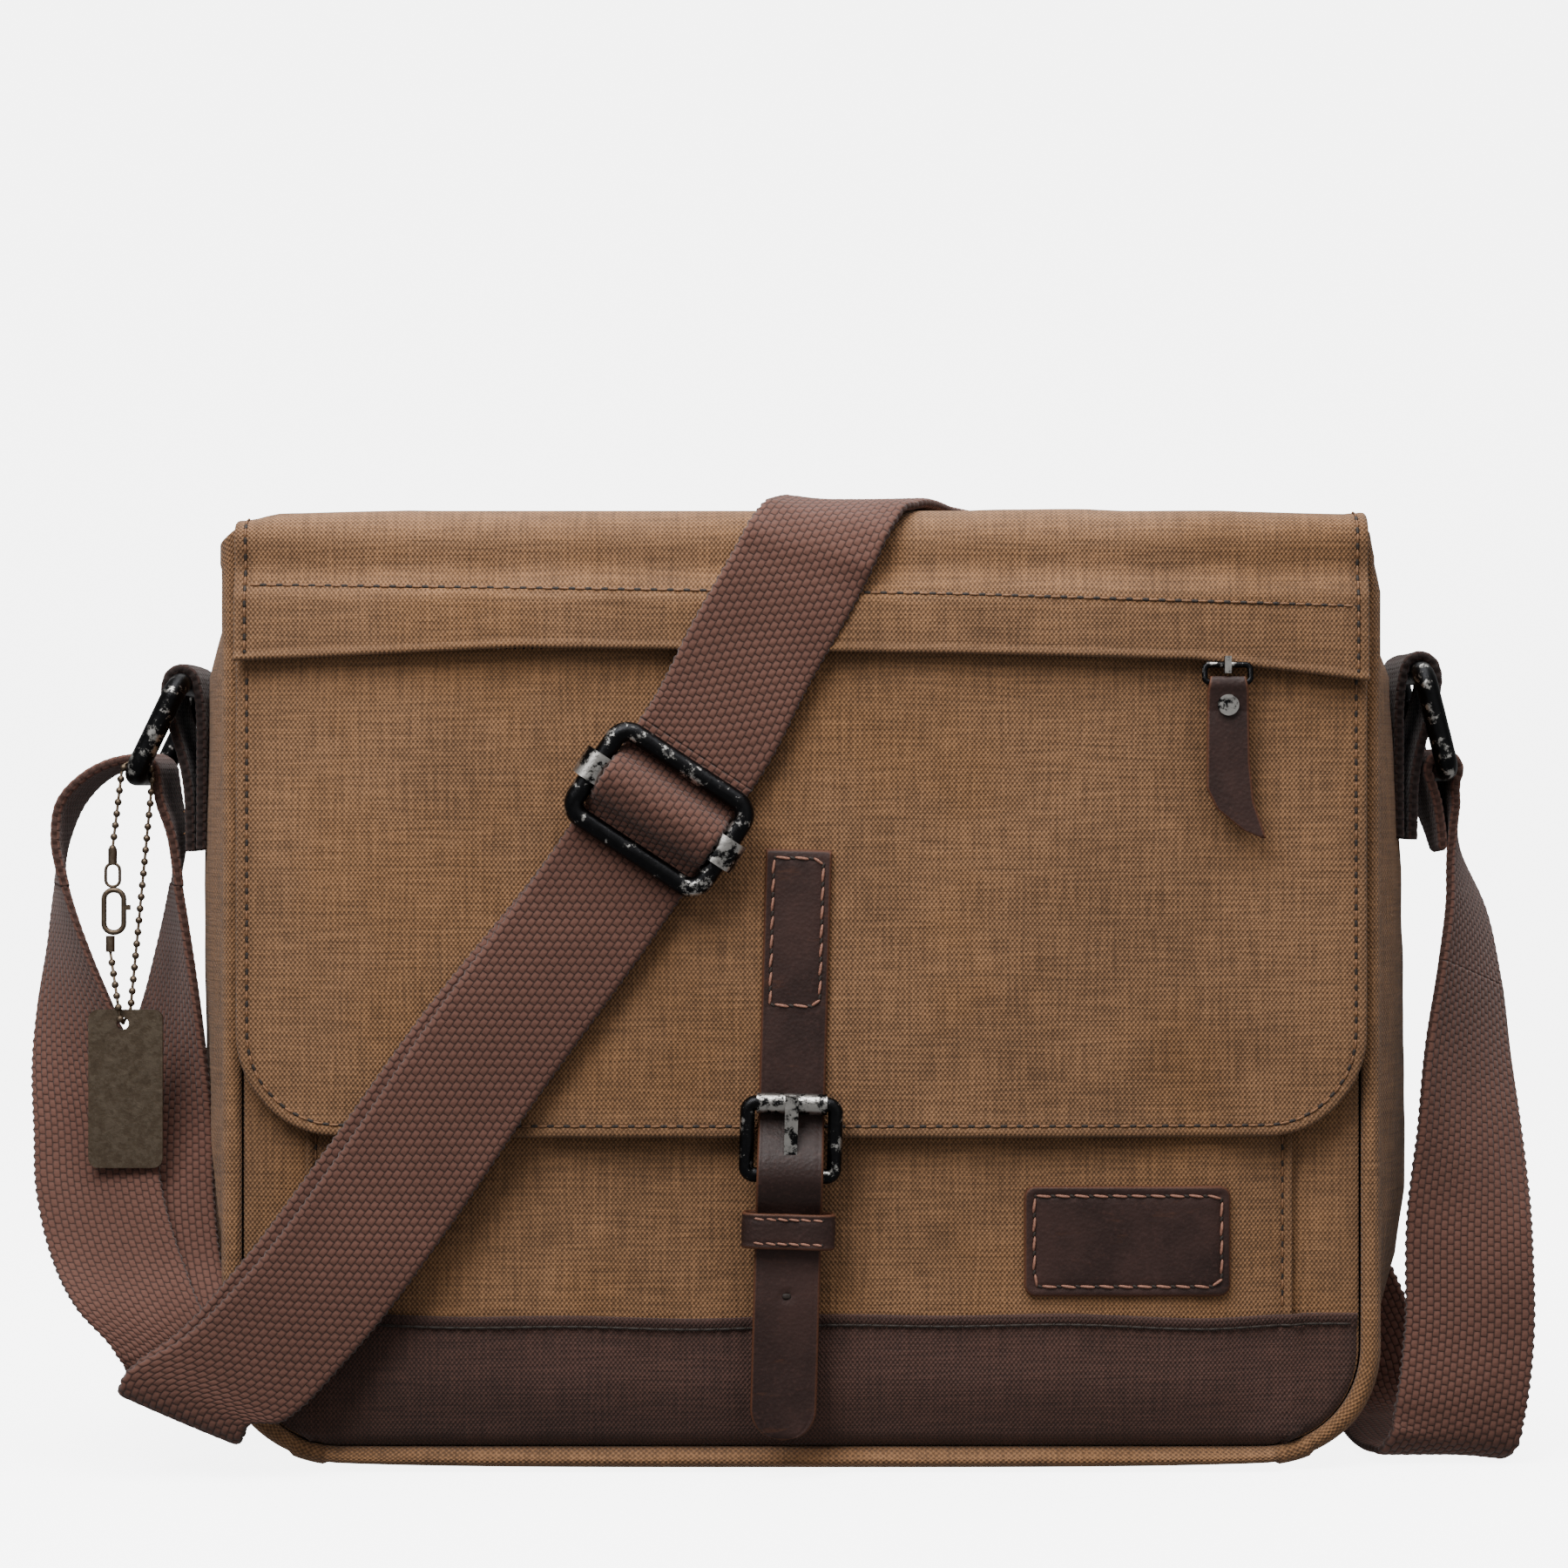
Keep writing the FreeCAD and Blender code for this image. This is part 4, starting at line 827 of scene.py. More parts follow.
class BAG_OT_pocket(bpy.types.Operator):
    """Sew on the front pocket, the dark base band and the leather label"""
    bl_idname = "bag.pocket"
    bl_label = "Front pocket, band and label"

    def execute(self, context):
        s = context.scene.bag_body
        top = mm(s.pocket_top)
        xs, zs = stations(POCKET_LEFT, POCKET_RIGHT, 4.5), stations(15.0, top, 4.5)
        x, z = np.meshgrid(xs, zs)
        e = np.minimum(x - POCKET_LEFT, POCKET_RIGHT - x)
        lumps = 0.5 * unevenness(x, 0 * x, z, 36.0, 2.2) + 0.25 * unevenness(x, 0 * x, z, 13.0, 6.0)
        lumps = lumps * smooth((e - 6) / 20)
        face = facing(x, pocket_y(x, z) + np.maximum(lumps, -0.35), z)
        d = np.minimum(e, top - z)
        piece = cloth("pocket_cloth", x, z, face, 1.6, "waxed_canvas", np.minimum(d, z - 12.0),
                      hem(top - z, 0.45, 8.0, 2.5), 0.8)
        keep(piece, "bag", "canvas", "front_pocket")
        rows = []
        for edge_x, inset in ((POCKET_LEFT, 3.3), (POCKET_RIGHT, -3.3)):
            line = [(edge_x + inset, float(pocket_y(np.array(edge_x + inset), np.array(zz))) - 0.15, zz)
                    for zz in np.linspace(49.5, top - 2, 40)]
            rows.append((line, FORWARD))
        across = np.linspace(POCKET_LEFT + 4, POCKET_RIGHT - 4, 90)
        high = top - 8.0
        rows.append(([(v, float(pocket_y(np.array(v), np.array(high))) - 0.25, high) for v in across], FORWARD))
        sewn("pocket", rows, "bag", "canvas")

        high = mm(s.band)
        x, z, d = rounded_grid(mm(s.half_width) - 0.7, mm(s.seam) + 0.2, high, mm(s.corner) - 0.5, 4.0)
        wave = 0.5 * np.sin(x / 31.0) + 0.4 * np.sin(x / 12.0 + 1)
        z_w = z + wave * smooth((z - 30) / 18)
        tuck = 1.6 * (1 - smooth((z - mm(s.seam)) / 5))
        y = body_face_y(x, z_w, 4.0) - 1.3 + tuck + 0.9 * (1 - smooth(d / 2.5)) * (z < high - 4)
        lumps = 0.4 * unevenness(x, 0 * x, z, 30.0, 8.0) * smooth(d / 12)
        face = facing(x, np.minimum(y + lumps, -46.4), z_w)
        piece = cloth("base_band_cloth", x, z, face, 1.2, "dark_canvas", d, hem(high - z, 0.35, 3.2, 1.6), 0.8)
        keep(piece, "bag", "dark_canvas", "base_band")
        across = np.linspace(-mm(s.half_width) + 3, mm(s.half_width) - 3, 160)
        row = high - 3.2 + 0.5 * np.sin(across / 31.0) + 0.4 * np.sin(across / 12.0 + 1)
        line = [(v, float(body_face_y(np.array(v), np.array(w), 4.0)) - 1.75, w) for v, w in zip(across, row)]
        sewn("base_band", [(line, FORWARD)], "bag", "dark_canvas", "dark_thread_and_hole_shade", 4.6, 4.3, 0.42)

        lo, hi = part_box("leather_label")
        cx, half = mm(lo[0] + hi[0]) / 2, mm(hi[0] - lo[0]) / 2
        x, z, d = rounded_grid(half, mm(lo[2]), mm(hi[2]), 3.4, 3.0, cx, 3.4)
        seat = pocket_y(x, z)
        press = -0.35 * np.exp(-((d - 3.0) / 0.9) ** 2)
        piece = cloth("label_leather", x, z, facing(x, seat - 1.9, z), 1.9, "oiled_leather", d, press, 0.9)
        keep(piece, "bag", "leather", "leather_label")
        loop = dense(np.concatenate([outline(half, mm(lo[2]), mm(hi[2]) - 3.0, 3.4, 3.0, cx),
                                     outline(half, mm(lo[2]), mm(hi[2]) - 3.0, 3.4, 3.0, cx)[:1]]), 1.5)
        line = [(px, float(pocket_y(np.array(px), np.array(pz))) - 1.75, pz) for px, pz in loop]
        sewn("label", [(line, FORWARD)], "bag", "leather", "leather_thread", 5.6, 4.5, 0.42, 0.45, 0.25, 0.3)
        return {"FINISHED"}


# ---- the flap ------------------------------------------------------------------------------
def seam_z(x):
    """Height of the row of stitches across the flap's crown."""
    return np.interp(x, (-170, 47, 170), (270.4, 267.3, 263.8))


def crown_face(x, s):
    """Outer face of the crown and the zip lip with their soft lumps, the lip standing off over the zip."""
    f = bpy.context.scene.bag_flap
    _, turn = flap_run()
    z = mm(f.crown) - mm(f.bend) - np.maximum(s - turn, 0)
    fold = 5.1 * smooth((277 - z) / 12) * (s > turn)
    lumps = 0.9 * unevenness(x, s, 0 * x, 40.0, 2.9) + 0.35 * unevenness(x, s, 0 * x, 16.0, 6.1)
    lumps = np.maximum(lumps * smooth((mm(f.half_width) - np.abs(x)) / 14), -0.4)
    crease = 0.45 * np.exp(-((z - seam_z(x)) / 0.8) ** 2)
    return flap_over(x, s, np.maximum(fold + lumps, 0) - crease)


class BAG_OT_flap(bpy.types.Operator):
    """Lay the flap over the mouth: crown and zip lip, front, lining and hinge cloth"""
    bl_idname = "bag.flap"
    bl_label = "Flap"

    def execute(self, context):
        f, body = context.scene.bag_flap, context.scene.bag_body
        half, low, corner, thick = mm(f.half_width), mm(f.low), mm(f.corner), mm(body.canvas)
        run, turn = flap_run()
        z_turn = mm(f.crown) - mm(f.bend)

        x, z, d = rounded_grid(half, low, 254.0, corner, 4.5)
        sides = np.minimum(half - np.abs(x), d)
        face = facing(x, flap_front_y(x, z), z)
        piece = cloth("flap_front_cloth", x, z, face, thick + 0.5, "waxed_canvas", d, hem(sides, 0.75), 1.1)
        keep(piece, "flap", "canvas", "flap_front_panel")
        path = dense(outline(half, low, 246.0, corner, 3.4), 2.0)
        path = path[:, [0, 0, 1]]
        path[:, 1] = flap_front_y(path[:, 0], path[:, 2]) - 0.35
        rows = [(path, FORWARD)]

        xs, vs = stations(-half, half, 3.6)[::-1], stations(2.0, turn + z_turn - 249.0, 1.6)
        x, v = np.meshgrid(xs, vs)
        lip = turn + z_turn - lip_z(x)
        s = np.where(v < turn, v, turn + (v - turn) * (lip - turn) / (vs[-1] - turn))
        side, end = half - np.abs(x), lip - s
        face = crown_face(x, s)
        lift = hem(side, 0.45) + 0.7 * smooth((3.0 - end) / 2.0)
        piece = cloth("flap_top_cloth", x, s, face, thick, "waxed_canvas", np.minimum(side, end), lift, 0.9)
        keep(piece, "flap", "canvas", "flap_top_panel", "flap_yoke")

        across = np.linspace(-half + 4, half - 4, 160)
        line = crown_face(across, turn + z_turn - seam_z(across))
        line[:, 1] -= 0.25
        rows.append((line, FORWARD))
        for sgn in (-1, 1):
            edge_x = sgn * (half - 3.4)
            ss = np.linspace(8, turn + z_turn - float(lip_z(edge_x)) - 2, 120)
            line = crown_face(np.full(120, edge_x), ss)
            t = np.clip((ss - run) / (turn - run), 0, 1) * math.pi / 2
            out = np.stack([0 * t, -np.sin(t), np.cos(t)], -1)
            rows.append((line + out * 0.3, out))
        sewn("flap", rows, "flap", "canvas", size=3.1, radius=0.36, hole=0.50)

        total = turn + z_turn - low - 1.5
        x, v, d = rounded_grid(half - 1.6, 0.0, total - 6.0, corner - 1.5, 6.0)
        s = total - v
        behind_zip = 2.2 * np.exp(-((s - turn - z_turn + 253.5) / 14) ** 2)
        curl = 1.0 * smooth((40 - v) / 40) * smooth((np.abs(x) - 100) / 60)
        face = flap_over(x, s, -3.1 - behind_zip) + facing(0 * x, curl, 0 * x)
        piece = cloth("flap_lining_cloth", x, v, face, 0.8, "cotton_lining", d)
        keep(piece, "flap", "lining", "flap_lining")

        path = [(51.0, 252.0), (50.9, 268.0), (50.8, 282.0), (50.75, 288.0), (49.9, 291.8), (47.0, 293.9),
                (42.0, 294.2), (30.0, 293.3)]
        line, b = smooth_line([(0.0, y, z) for y, z in path], 1.5)
        x, bb = np.meshgrid(stations(-half + 1, half - 1, 8.0, (0.0, 1.0, 3.0)), b)
        face = swept(-x, line)
        piece = cloth("flap_hinge_cloth", x, bb, face, 0.6, "waxed_canvas", np.minimum(bb, b[-1] - bb))
        bent(piece, "canvas", "bag", "flap", (0, 50.6, 288), (0, 41.0, 288))
        return {"FINISHED"}


class BAG_OT_zip(bpy.types.Operator):
    """Fit the zip's tapes and teeth behind its lip and make its leather pull; the slider, pull ring and rivet are the
    frame's own parts
    """
    bl_idname = "bag.zip"
    bl_label = "Zip"

    def execute(self, context):
        for node, sign in (("zip_tape_upper", 1), ("zip_tape_lower", -1)):
            lo, hi = [[mm(v) for v in c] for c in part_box(node)]
            xs = np.linspace(lo[0], hi[0], 90)
            y_tape = hi[1] - 0.25
            zs = np.linspace(lo[2], hi[2], 12)
            x, z = np.meshgrid(xs, zs)
            face = facing(x, y_tape - 0.5 + flap_ease(x), z)
            piece = cloth(node + "_cloth", x, z, face, 0.5, "zip_cloth")
            teeth = Thread()
            z_tip = lo[2] if sign > 0 else hi[2]
            for tx in np.arange(lo[0] + 5, hi[0] - 5, 2.6):
                y = y_tape - 1.6 + float(flap_ease(tx))
                tx = tx + (0.65 if sign > 0 else -0.65)
                teeth.capsule(np.array((tx, y, z_tip - sign * 0.35)), np.array((tx, y, z_tip + sign * 2.2)),
                              np.array(FORWARD), 0.55, 0.0, 1.3)
            keep(piece, "flap", "zip_tape", node)
            teeth.make(node + "_teeth", "worn_black_metal", "flap", "black_metal")
        lo, hi = [[mm(v) for v in c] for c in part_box("zip_pull_leather")]
        cx, top = lo[0] + 6.4, hi[2] - 2.55
        fold = ((-65.35, -47), (-65.45, -30), (-65.5, -8), (-66.3, -3.2), (-66.85, -0.4), (-65.9, 1.75),
                (-64.2, 1.75), (-63.2, 0), (-63.7, -3), (-64.3, -8), (-64.35, -30))
        line, b = smooth_line([(0, y, top + rise) for y, rise in fold], 0.8)
        u = stations(0.0, 1.0, 0.12, (0.0, 0.02, 0.05, 0.09, 0.16))
        drop = line[:, 2] - top
        left = np.interp(drop, (-47, -44.5, -38, -32, -3, 2), (10.4, 4.5, -3.5, -6.4, -6.2, -5.4))
        right = np.interp(drop, (-47, -36, -24, -3, 2), (11.6, 7.8, 6.6, 6.2, 5.4))
        uu, bb = np.meshgrid(u, b)
        x = left[:, None] + (right - left)[:, None] * uu
        face = swept(cx + x, line)
        d = np.minimum(np.minimum(uu, 1 - uu) * (right - left)[:, None], np.minimum(bb, b[-1] - bb))
        piece = cloth("zip_pull_strip", x, bb, face, 1.05, "oiled_leather", d, 0.0, 0.5)
        keep(piece, "zip_pull", "leather", "zip_pull_leather")
        return {"FINISHED"}


# ---- the closing strap ------------------------------------------------------------------------
STRAP_MIDDLE, STRAP_TOP, STRAP_FOOT, STRAP_LEAN = -0.8, 190.2, 12.2, 1.6


def lean(face):
    """Turns the upright closing strap by the small angle it hangs at."""
    c, s = math.cos(math.radians(STRAP_LEAN)), math.sin(math.radians(STRAP_LEAN))
    x, z = face[..., 0] - STRAP_MIDDLE, face[..., 2] - STRAP_TOP
    return np.stack([STRAP_MIDDLE + x * c + z * s, face[..., 1], STRAP_TOP - x * s + z * c], -1)


def dress(finish_name, *nodes):
    """Gives the frame's own parts their finish."""
    for name in nodes:
        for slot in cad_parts[name].material_slots:
            slot.material = finish(finish_name)


class BAG_OT_closing_strap(bpy.types.Operator):
    """Make the leather closing strap, its keeper and stitching, and finish the buckle"""
    bl_idname = "bag.closing_strap"
    bl_label = "Closing strap and buckle"

    def execute(self, context):
        thick, half = 2.2, 10.0
        path = [(-65.8, STRAP_FOOT), (-65.9, 30), (-66.1, 52), (-65.8, 74.0), (-67.3, 81.5), (-70.4, 86.5),
                (-72.0, 91.2), (-71.4, 95.5), (-68.0, 101.5), (-64.0, 107.2), (-62.3, 113.0), (-62.15, 122.0),
                (-62.1, 150.0), (-62.1, STRAP_TOP)]
        line, b = smooth_line([(0.0, y, z) for y, z in path], 1.3)
        tip = np.clip(b - b[0], 0, 9.5)
        wide = 0.5 + np.sqrt(np.maximum(9.5 ** 2 - (9.5 - tip) ** 2, 0)) * (half - 0.5) / 9.5
        across = stations(-half, half, 1.6, (0.0, 0.3, 0.7, 1.2, 1.8, 2.3, 2.8, 3.4))
        a, bb = np.meshgrid(across, b)
        x = a / half * wide[:, None]
        middle = swept(STRAP_MIDDLE + x, line)
        d = np.minimum(np.minimum(wide[:, None] - np.abs(x), bb - b[0]), b[-1] - bb)
        z = middle[..., 2]
        stitched = smooth((z - 141) / 3)
        groove = -0.28 * np.exp(-((np.minimum(half - np.abs(x), STRAP_TOP - z) - 2.5) / 0.6) ** 2) * stitched
        groove = groove - 0.22 * np.exp(-((d - 1.5) / 0.35) ** 2)
        ripple = 0.18 * unevenness(x, bb, 0 * x, 14.0, 3.3)
        for hole in (55.7,):
            groove = groove - 1.2 * smooth((1.9 - np.hypot(x, z - hole)) / 0.7)
        face = lean(middle)
        face = face + normals(face) * (thick / 2 + ripple)[..., None]
        piece = cloth("closing_strap_leather", x, bb, face, thick, "oiled_leather", d, groove, 0.7)
        keep(piece, "flap", "leather", "billet_strap")
        box_path = dense([(-7.5, 187.6), (-7.5, 143.0), (7.5, 143.0), (7.5, 187.6), (-7.5, 187.6)], 1.0)
        row = lean(np.array([(STRAP_MIDDLE + px, -63.15, pz) for px, pz in box_path]))
        sewn("closing_strap", [(row, FORWARD)], "flap", "leather", "leather_thread", 5.6, 4.3, 0.42, 0.45,
             0.25, 0.3)
        # painted shade: a flat dark disc on the strap stands for its punched hole
        holes = Thread()
        for hole in (55.7,):
            p = lean(np.array([[STRAP_MIDDLE, -66.6, hole - 0.9], [STRAP_MIDDLE, -66.6, hole + 0.9]]))
            holes.capsule(p[0], p[1], np.array(FORWARD), 1.7, 0.0, 0.3)
        keep(fill_mesh("closing_strap_holes", holes.points, holes.faces, "dark_thread_and_hole_shade"), "flap", "leather")

        half_loop = [(0, -61.85), (10.5, -61.9), (12.9, -62.9), (13.3, -65.5), (13.1, -68.4), (11.3, -69.75)]
        loop = half_loop + [(0, -70.0)] + [(-x, y) for x, y in half_loop[:0:-1]] + half_loop[:1]
        line, b = smooth_line([(x, y, 0.0) for x, y in loop], 0.9)
        zs = stations(70.2, 80.9, 1.2, (0.0, 0.25, 0.6, 1.1, 1.7, 2.3))
        zz, bb = np.meshgrid(zs, b)
        round_x, round_y = (np.broadcast_to(line[:, k:k + 1], zz.shape) for k in (0, 1))
        middle = lean(np.stack([STRAP_MIDDLE + round_x, round_y, zz], -1))
        d = np.minimum(zz - zs[0], zs[-1] - zz)
        face = middle + normals(middle) * 0.75
        press = -0.2 * np.exp(-((d - 1.7) / 0.45) ** 2)
        piece = cloth("keeper_leather", zz, bb, face, 1.5, "oiled_leather", d, press, 0.6)
        keep(piece, "flap", "leather", "keeper_loop")
        rows = []
        for height in (71.9, 79.2):
            row = lean(np.array([(STRAP_MIDDLE + px, -71.0, height) for px in np.linspace(-10.5, 10.5, 22)]))
            rows.append((row, FORWARD))
        sewn("keeper", rows, "flap", "leather", "leather_thread", 3.5, 3.1, 0.36, 0.36, 0.25, 0.2)
        dress("strap_leather", "chape_strap")
        dress("worn_black_metal", "buckle_frame", "buckle_roller", "buckle_prong", "snap_stud", "snap_socket")
        return {"FINISHED"}


# ---- webbing ---------------------------------------------------------------------------------
def webbing(name, line, finish_name="strap_webbing", step=0.72, thickness=None, before=(), after=(), tips=(0, 0),
            slanted=False):
    """Woven strap along rows of place and width direction; returns the piece and its length in millimetres.

    Rows before and after belong to the strap's next pieces; tips says which of its ends is cut and sealed;
    a slanted strap keeps its width along the given direction, as it does where it is folded askew.
    """
    s = bpy.context.scene.bag_strap
    half, thick = mm(s.width) / 2, thickness or mm(s.thickness)
    rows = [tuple(row[0]) + tuple(row[1]) for row in (*before, *line, *after)]
    p, b = smooth_line(rows, step, len(before), len(after))
    b_even = b * max(round(b[-1] / mm(s.cell_along)), 1) * mm(s.cell_along) / b[-1]
    t = np.gradient(p[:, :3], axis=0)
    t /= np.linalg.norm(t, axis=1, keepdims=True)
    w = p[:, 3:6] - t * np.sum(p[:, 3:6] * t, axis=1, keepdims=True) * (not slanted)
    w /= np.linalg.norm(w, axis=1, keepdims=True)
    n = np.cross(w, t)
    n /= np.linalg.norm(n, axis=1, keepdims=True)
    a, bb = np.meshgrid(np.linspace(-half, half, 49), b_even)
    cell = 0.5 + 0.5 * np.cos(a * 2 * math.pi / mm(s.cell_across)) * np.cos(bb * 2 * math.pi / mm(s.cell_along))
    edge = half - np.abs(a)
    depth = thick / 2 * np.sqrt(np.clip(1 - (1 - np.minimum(edge / 1.6, 1)) ** 2, 0.12, 1))
    for at_tip, gap in zip(tips, (b, b[-1] - b)):
        if at_tip:
            depth = depth * np.sqrt(np.clip(1 - (1 - np.minimum(gap / 1.8, 1)) ** 2, 0.10, 1))[:, None]
    depth = depth + mm(s.relief) * (cell ** 0.6 - 0.6) * np.minimum(edge / 1.0 + 0.3, 1)
    out = a + np.sign(a) * 0.32 * np.cos(bb * 2 * math.pi / mm(s.cell_along)) * (np.abs(a) / half) ** 8
    cup = 0.25 * (np.abs(a) / half) ** 2
    middle = p[:, None, :3] + w[:, None, :] * out[..., None] - n[:, None, :] * cup[..., None]
    outer, inner = middle + n[:, None, :] * depth[..., None], middle - n[:, None, :] * depth[..., None]
    return closed_sheet(name, a, bb, outer, inner, finish_name, edge), b[-1]


X_WAY, Y_WAY, DEPTH_WAY = (1.0, 0.0, 0.0), (0.0, 1.0, 0.0), (0.0, -1.0, 0.0)
OVER_Y, UNDER_Y = -66.5, -63.1
SLIDE = np.array((-42.7, 0.0, 202.4))
SLIDE_ALONG, SLIDE_ACROSS = np.array((0.5505, 0.0, 0.8348)), (0.8348, 0.0, -0.5505)
RING_BAR_LEFT, RING_BAR_RIGHT = (-208.21, 212.94), (202.12, 214.44)
RING_TURN, RING_Y = 5.15, 3.0
FOLD = (-186.0, -61.4, 23.5)


def turned(phi):
    """Width direction of a strap turned by phi degrees from edge-on to face-on."""
    return (math.sin(math.radians(phi)), -math.cos(math.radians(phi)), 0.0)


def on_slide(s, y):
    p = SLIDE + SLIDE_ALONG * s
    return (p[0], y, p[2])


def fold_round(radius):
    """The strap doubling back round the slanted crease at its lower left, from behind to the front."""
    crease, down = (0.92, 0.0, -0.39), (-0.39, 0.0, -0.92)
    rows = []
    for a in range(180, -1, -30):
        c, s = math.cos(math.radians(a)), math.sin(math.radians(a))
        place = (FOLD[0] + down[0] * radius * s, FOLD[1] - radius * c, FOLD[2] + down[2] * radius * s)
        rows.append((place, crease))
    return rows


def round_bar(centre, first, last, step, way):
    """The strap's turn over a ring's round bar, from one angle to another."""
    return [((centre[0] + RING_TURN * math.cos(math.radians(a)), RING_Y,
              centre[1] + RING_TURN * math.sin(math.radians(a))), way) for a in range(first, last, step)]


LOW_ACROSS = (0.826, 0.0, -0.5635)
INNER_LOOP = [((-199.0, 1.0, 178), turned(11)), ((-199.0, -2.5, 156), turned(24)),
              ((-199.5, -6.5, 138), turned(36)), ((-201.5, -11, 120), turned(54)),
              ((-203, -17.5, 102), turned(74)), ((-202.5, -26.5, 85), turned(85)),
              ((-199, -38.5, 64), X_WAY), ((-193, -51.8, 48), (0.99, 0, -0.1)),
              ((-187.5, -56.3, 34), (0.97, 0, -0.2))]
OUTER_LOOP = [((-235.3, 0.0, 178), turned(14)), ((-232, -5, 156), turned(30)),
              ((-228.5, -11, 138), turned(48)), ((-225, -16, 120), turned(65)),
              ((-221, -22.5, 102), turned(78)), ((-218, -31, 85), turned(85)),
              ((-210, -44, 64), X_WAY), ((-200, -56, 48), (0.99, 0, -0.1)),
              ((-188.5, -59.7, 34), (0.97, 0, -0.2))]


class BAG_OT_shoulder_strap(bpy.types.Operator):
    """Run the strap from the left ring round the fold, through the slider, over the bag to the right ring"""
    bl_idname = "bag.shoulder_strap"
    bl_label = "Shoulder strap"

    def execute(self, context):
        pieces = []

        def declare(piece, long, *rests):
            pieces.append(piece)

        # the long run: inner loop, fold, the front diagonal, over the slider's bar
        run = INNER_LOOP + fold_round(5.1)[1:] + [
            ((-172.3, OVER_Y, 30.0), (0.80, 0, -0.60)), ((-151.8, OVER_Y, 49.7), (0.808, 0, -0.588)),
            ((-123.8, OVER_Y, 86.0), LOW_ACROSS), ((-97.4, OVER_Y, 124.7), (0.822, 0, -0.569)),
            (on_slide(-20, OVER_Y), SLIDE_ACROSS), (on_slide(-12, OVER_Y), SLIDE_ACROSS)]
        hump = [(-8.0, -3.0), (-4.6, -8.0), (0.0, -9.9), (4.6, -8.0), (8.0, -3.0), (12.0, 0.0), (20.0, 0.0)]
        run += [(on_slide(s, OVER_Y + y), SLIDE_ACROSS) for s, y in hump]
        piece, long = webbing("strap_long_run", run, slanted=True, before=[((-199.5, 3.0, 195), turned(3))],
                              after=[(on_slide(26, OVER_Y), (0.868, 0, -0.497))])
        declare(piece, long, "strap_slider_bar")
        bent(piece, "webbing", "bag", "flap", (-174, 0, 60), (-137, 0, 60),
             "strap_left_inner")
        # the returning layer under it, looped round the slider's bar
        low = np.array(LOW_ACROSS)
        behind = [((-172.3, UNDER_Y, 30.0), 2.0, (0.80, 0, -0.60)),
                  ((-151.8, UNDER_Y, 49.7), 3.6, (0.808, 0, -0.588)),
                  ((-123.8, UNDER_Y, 86.0), 4.2, LOW_ACROSS),
                  ((-97.4, UNDER_Y, 124.7), 3.2, (0.822, 0, -0.569))]
        run = OUTER_LOOP + fold_round(1.7)[1:] + [(tuple(np.array(p) - low * back), w) for p, back, w in behind]
        turn = ((-20, UNDER_Y), (-12, UNDER_Y - 0.2), (-4, -66.6), (1.5, -67.2), (3.4, -70.0), (1.2, -73.0),
                (-2.6, -73.0))
        run += [(on_slide(s, y), SLIDE_ACROSS) for s, y in turn]
        piece, long = webbing("strap_return_layer", run, thickness=2.5, slanted=True,
                              before=[((-235.8, 2.0, 193), turned(5))])
        declare(piece, long, "strap_slider_bar")
        bent(piece, "webbing", "bag", "flap", (-174, 0, 60), (-137, 0, 60),
             "strap_left_outer", "strap_front_under")
        # over the crown to the back
        rise = (0.462, 0.887)
        up = on_slide(26, OVER_Y)
        x = up[0] + rise[0] / rise[1] * (275.0 - up[2])
        run = [(on_slide(20, OVER_Y), SLIDE_ACROSS), (up, (0.868, 0, -0.497)),
               (((up[0] + x) / 2, OVER_Y, (up[2] + 275) / 2), (0.90, 0, -0.43)),
               ((x, OVER_Y, 273.0), (0.985, 0, -0.17))]
        last = (OVER_Y, 273.0)
        crown = ((-65.4, 282.5), (-61.3, 289.6), (-54.0, 294.3), (-44.0, 295.9), (-20.0, 294.9), (0.0, 294.6),
                 (25.0, 295.0), (43.0, 296.0), (50.2, 292.3), (52.3, 284.0))
        for y, z in crown:
            x += 0.521 * math.hypot(y - last[0], z - last[1])
            last = (y, z)
            run.append(((x, y, z), X_WAY))
        foot_x = 189.0
        slope = (foot_x - x) / (284.0 - 18.0)
        run.append(((x + slope * 29.0, 52.3, 255.0), X_WAY))
        piece, long = webbing("strap_over_crown", run, before=[(on_slide(12, OVER_Y), SLIDE_ACROSS)],
                              after=[((x + slope * 84.0, 52.3, 200.0), X_WAY)])
        declare(piece, long, "flap_top_cloth")
        bent(piece, "webbing", "bag", "flap", (0, 51.6, 288), (0, 41.0, 288), "strap_front_run")
        # down the back, under the corner and up to the right
        back = [((x + slope * (284.0 - z), 52.3, z), X_WAY) for z in (255.0, 200.0, 140.0, 80.0, 30.0)]
        under = ((foot_x, 52.2, 18), (191, 50.6, 9), (192.5, 46, 4.4), (193, 40, 2.9), (194, 21.8, 2.7),
                 (197, -24, 2.7), (199, -33, 4.0), (201.5, -38.3, 8.6), (203, -40.2, 17), (206, -39, 40))
        down = [(place, X_WAY) for place in under] + [
            ((207, -34, 70), (0.99, 0.1, 0)), ((209, -26, 98), (0.9, 0.44, 0)),
            ((210, -18, 124), (0.77, 0.64, 0)), ((212, -10, 150), (0.6, 0.8, 0))]
        piece, long = webbing("strap_back_and_drop", back + down, before=[((x, 52.3, 284.0), X_WAY)],
                              after=[((212, -3.5, 172), (0.41, 0.91, 0))])
        declare(piece, long, "back_panel_cloth")
        keep(piece, "bag", "webbing", "strap_back_run", "strap_right_drop")

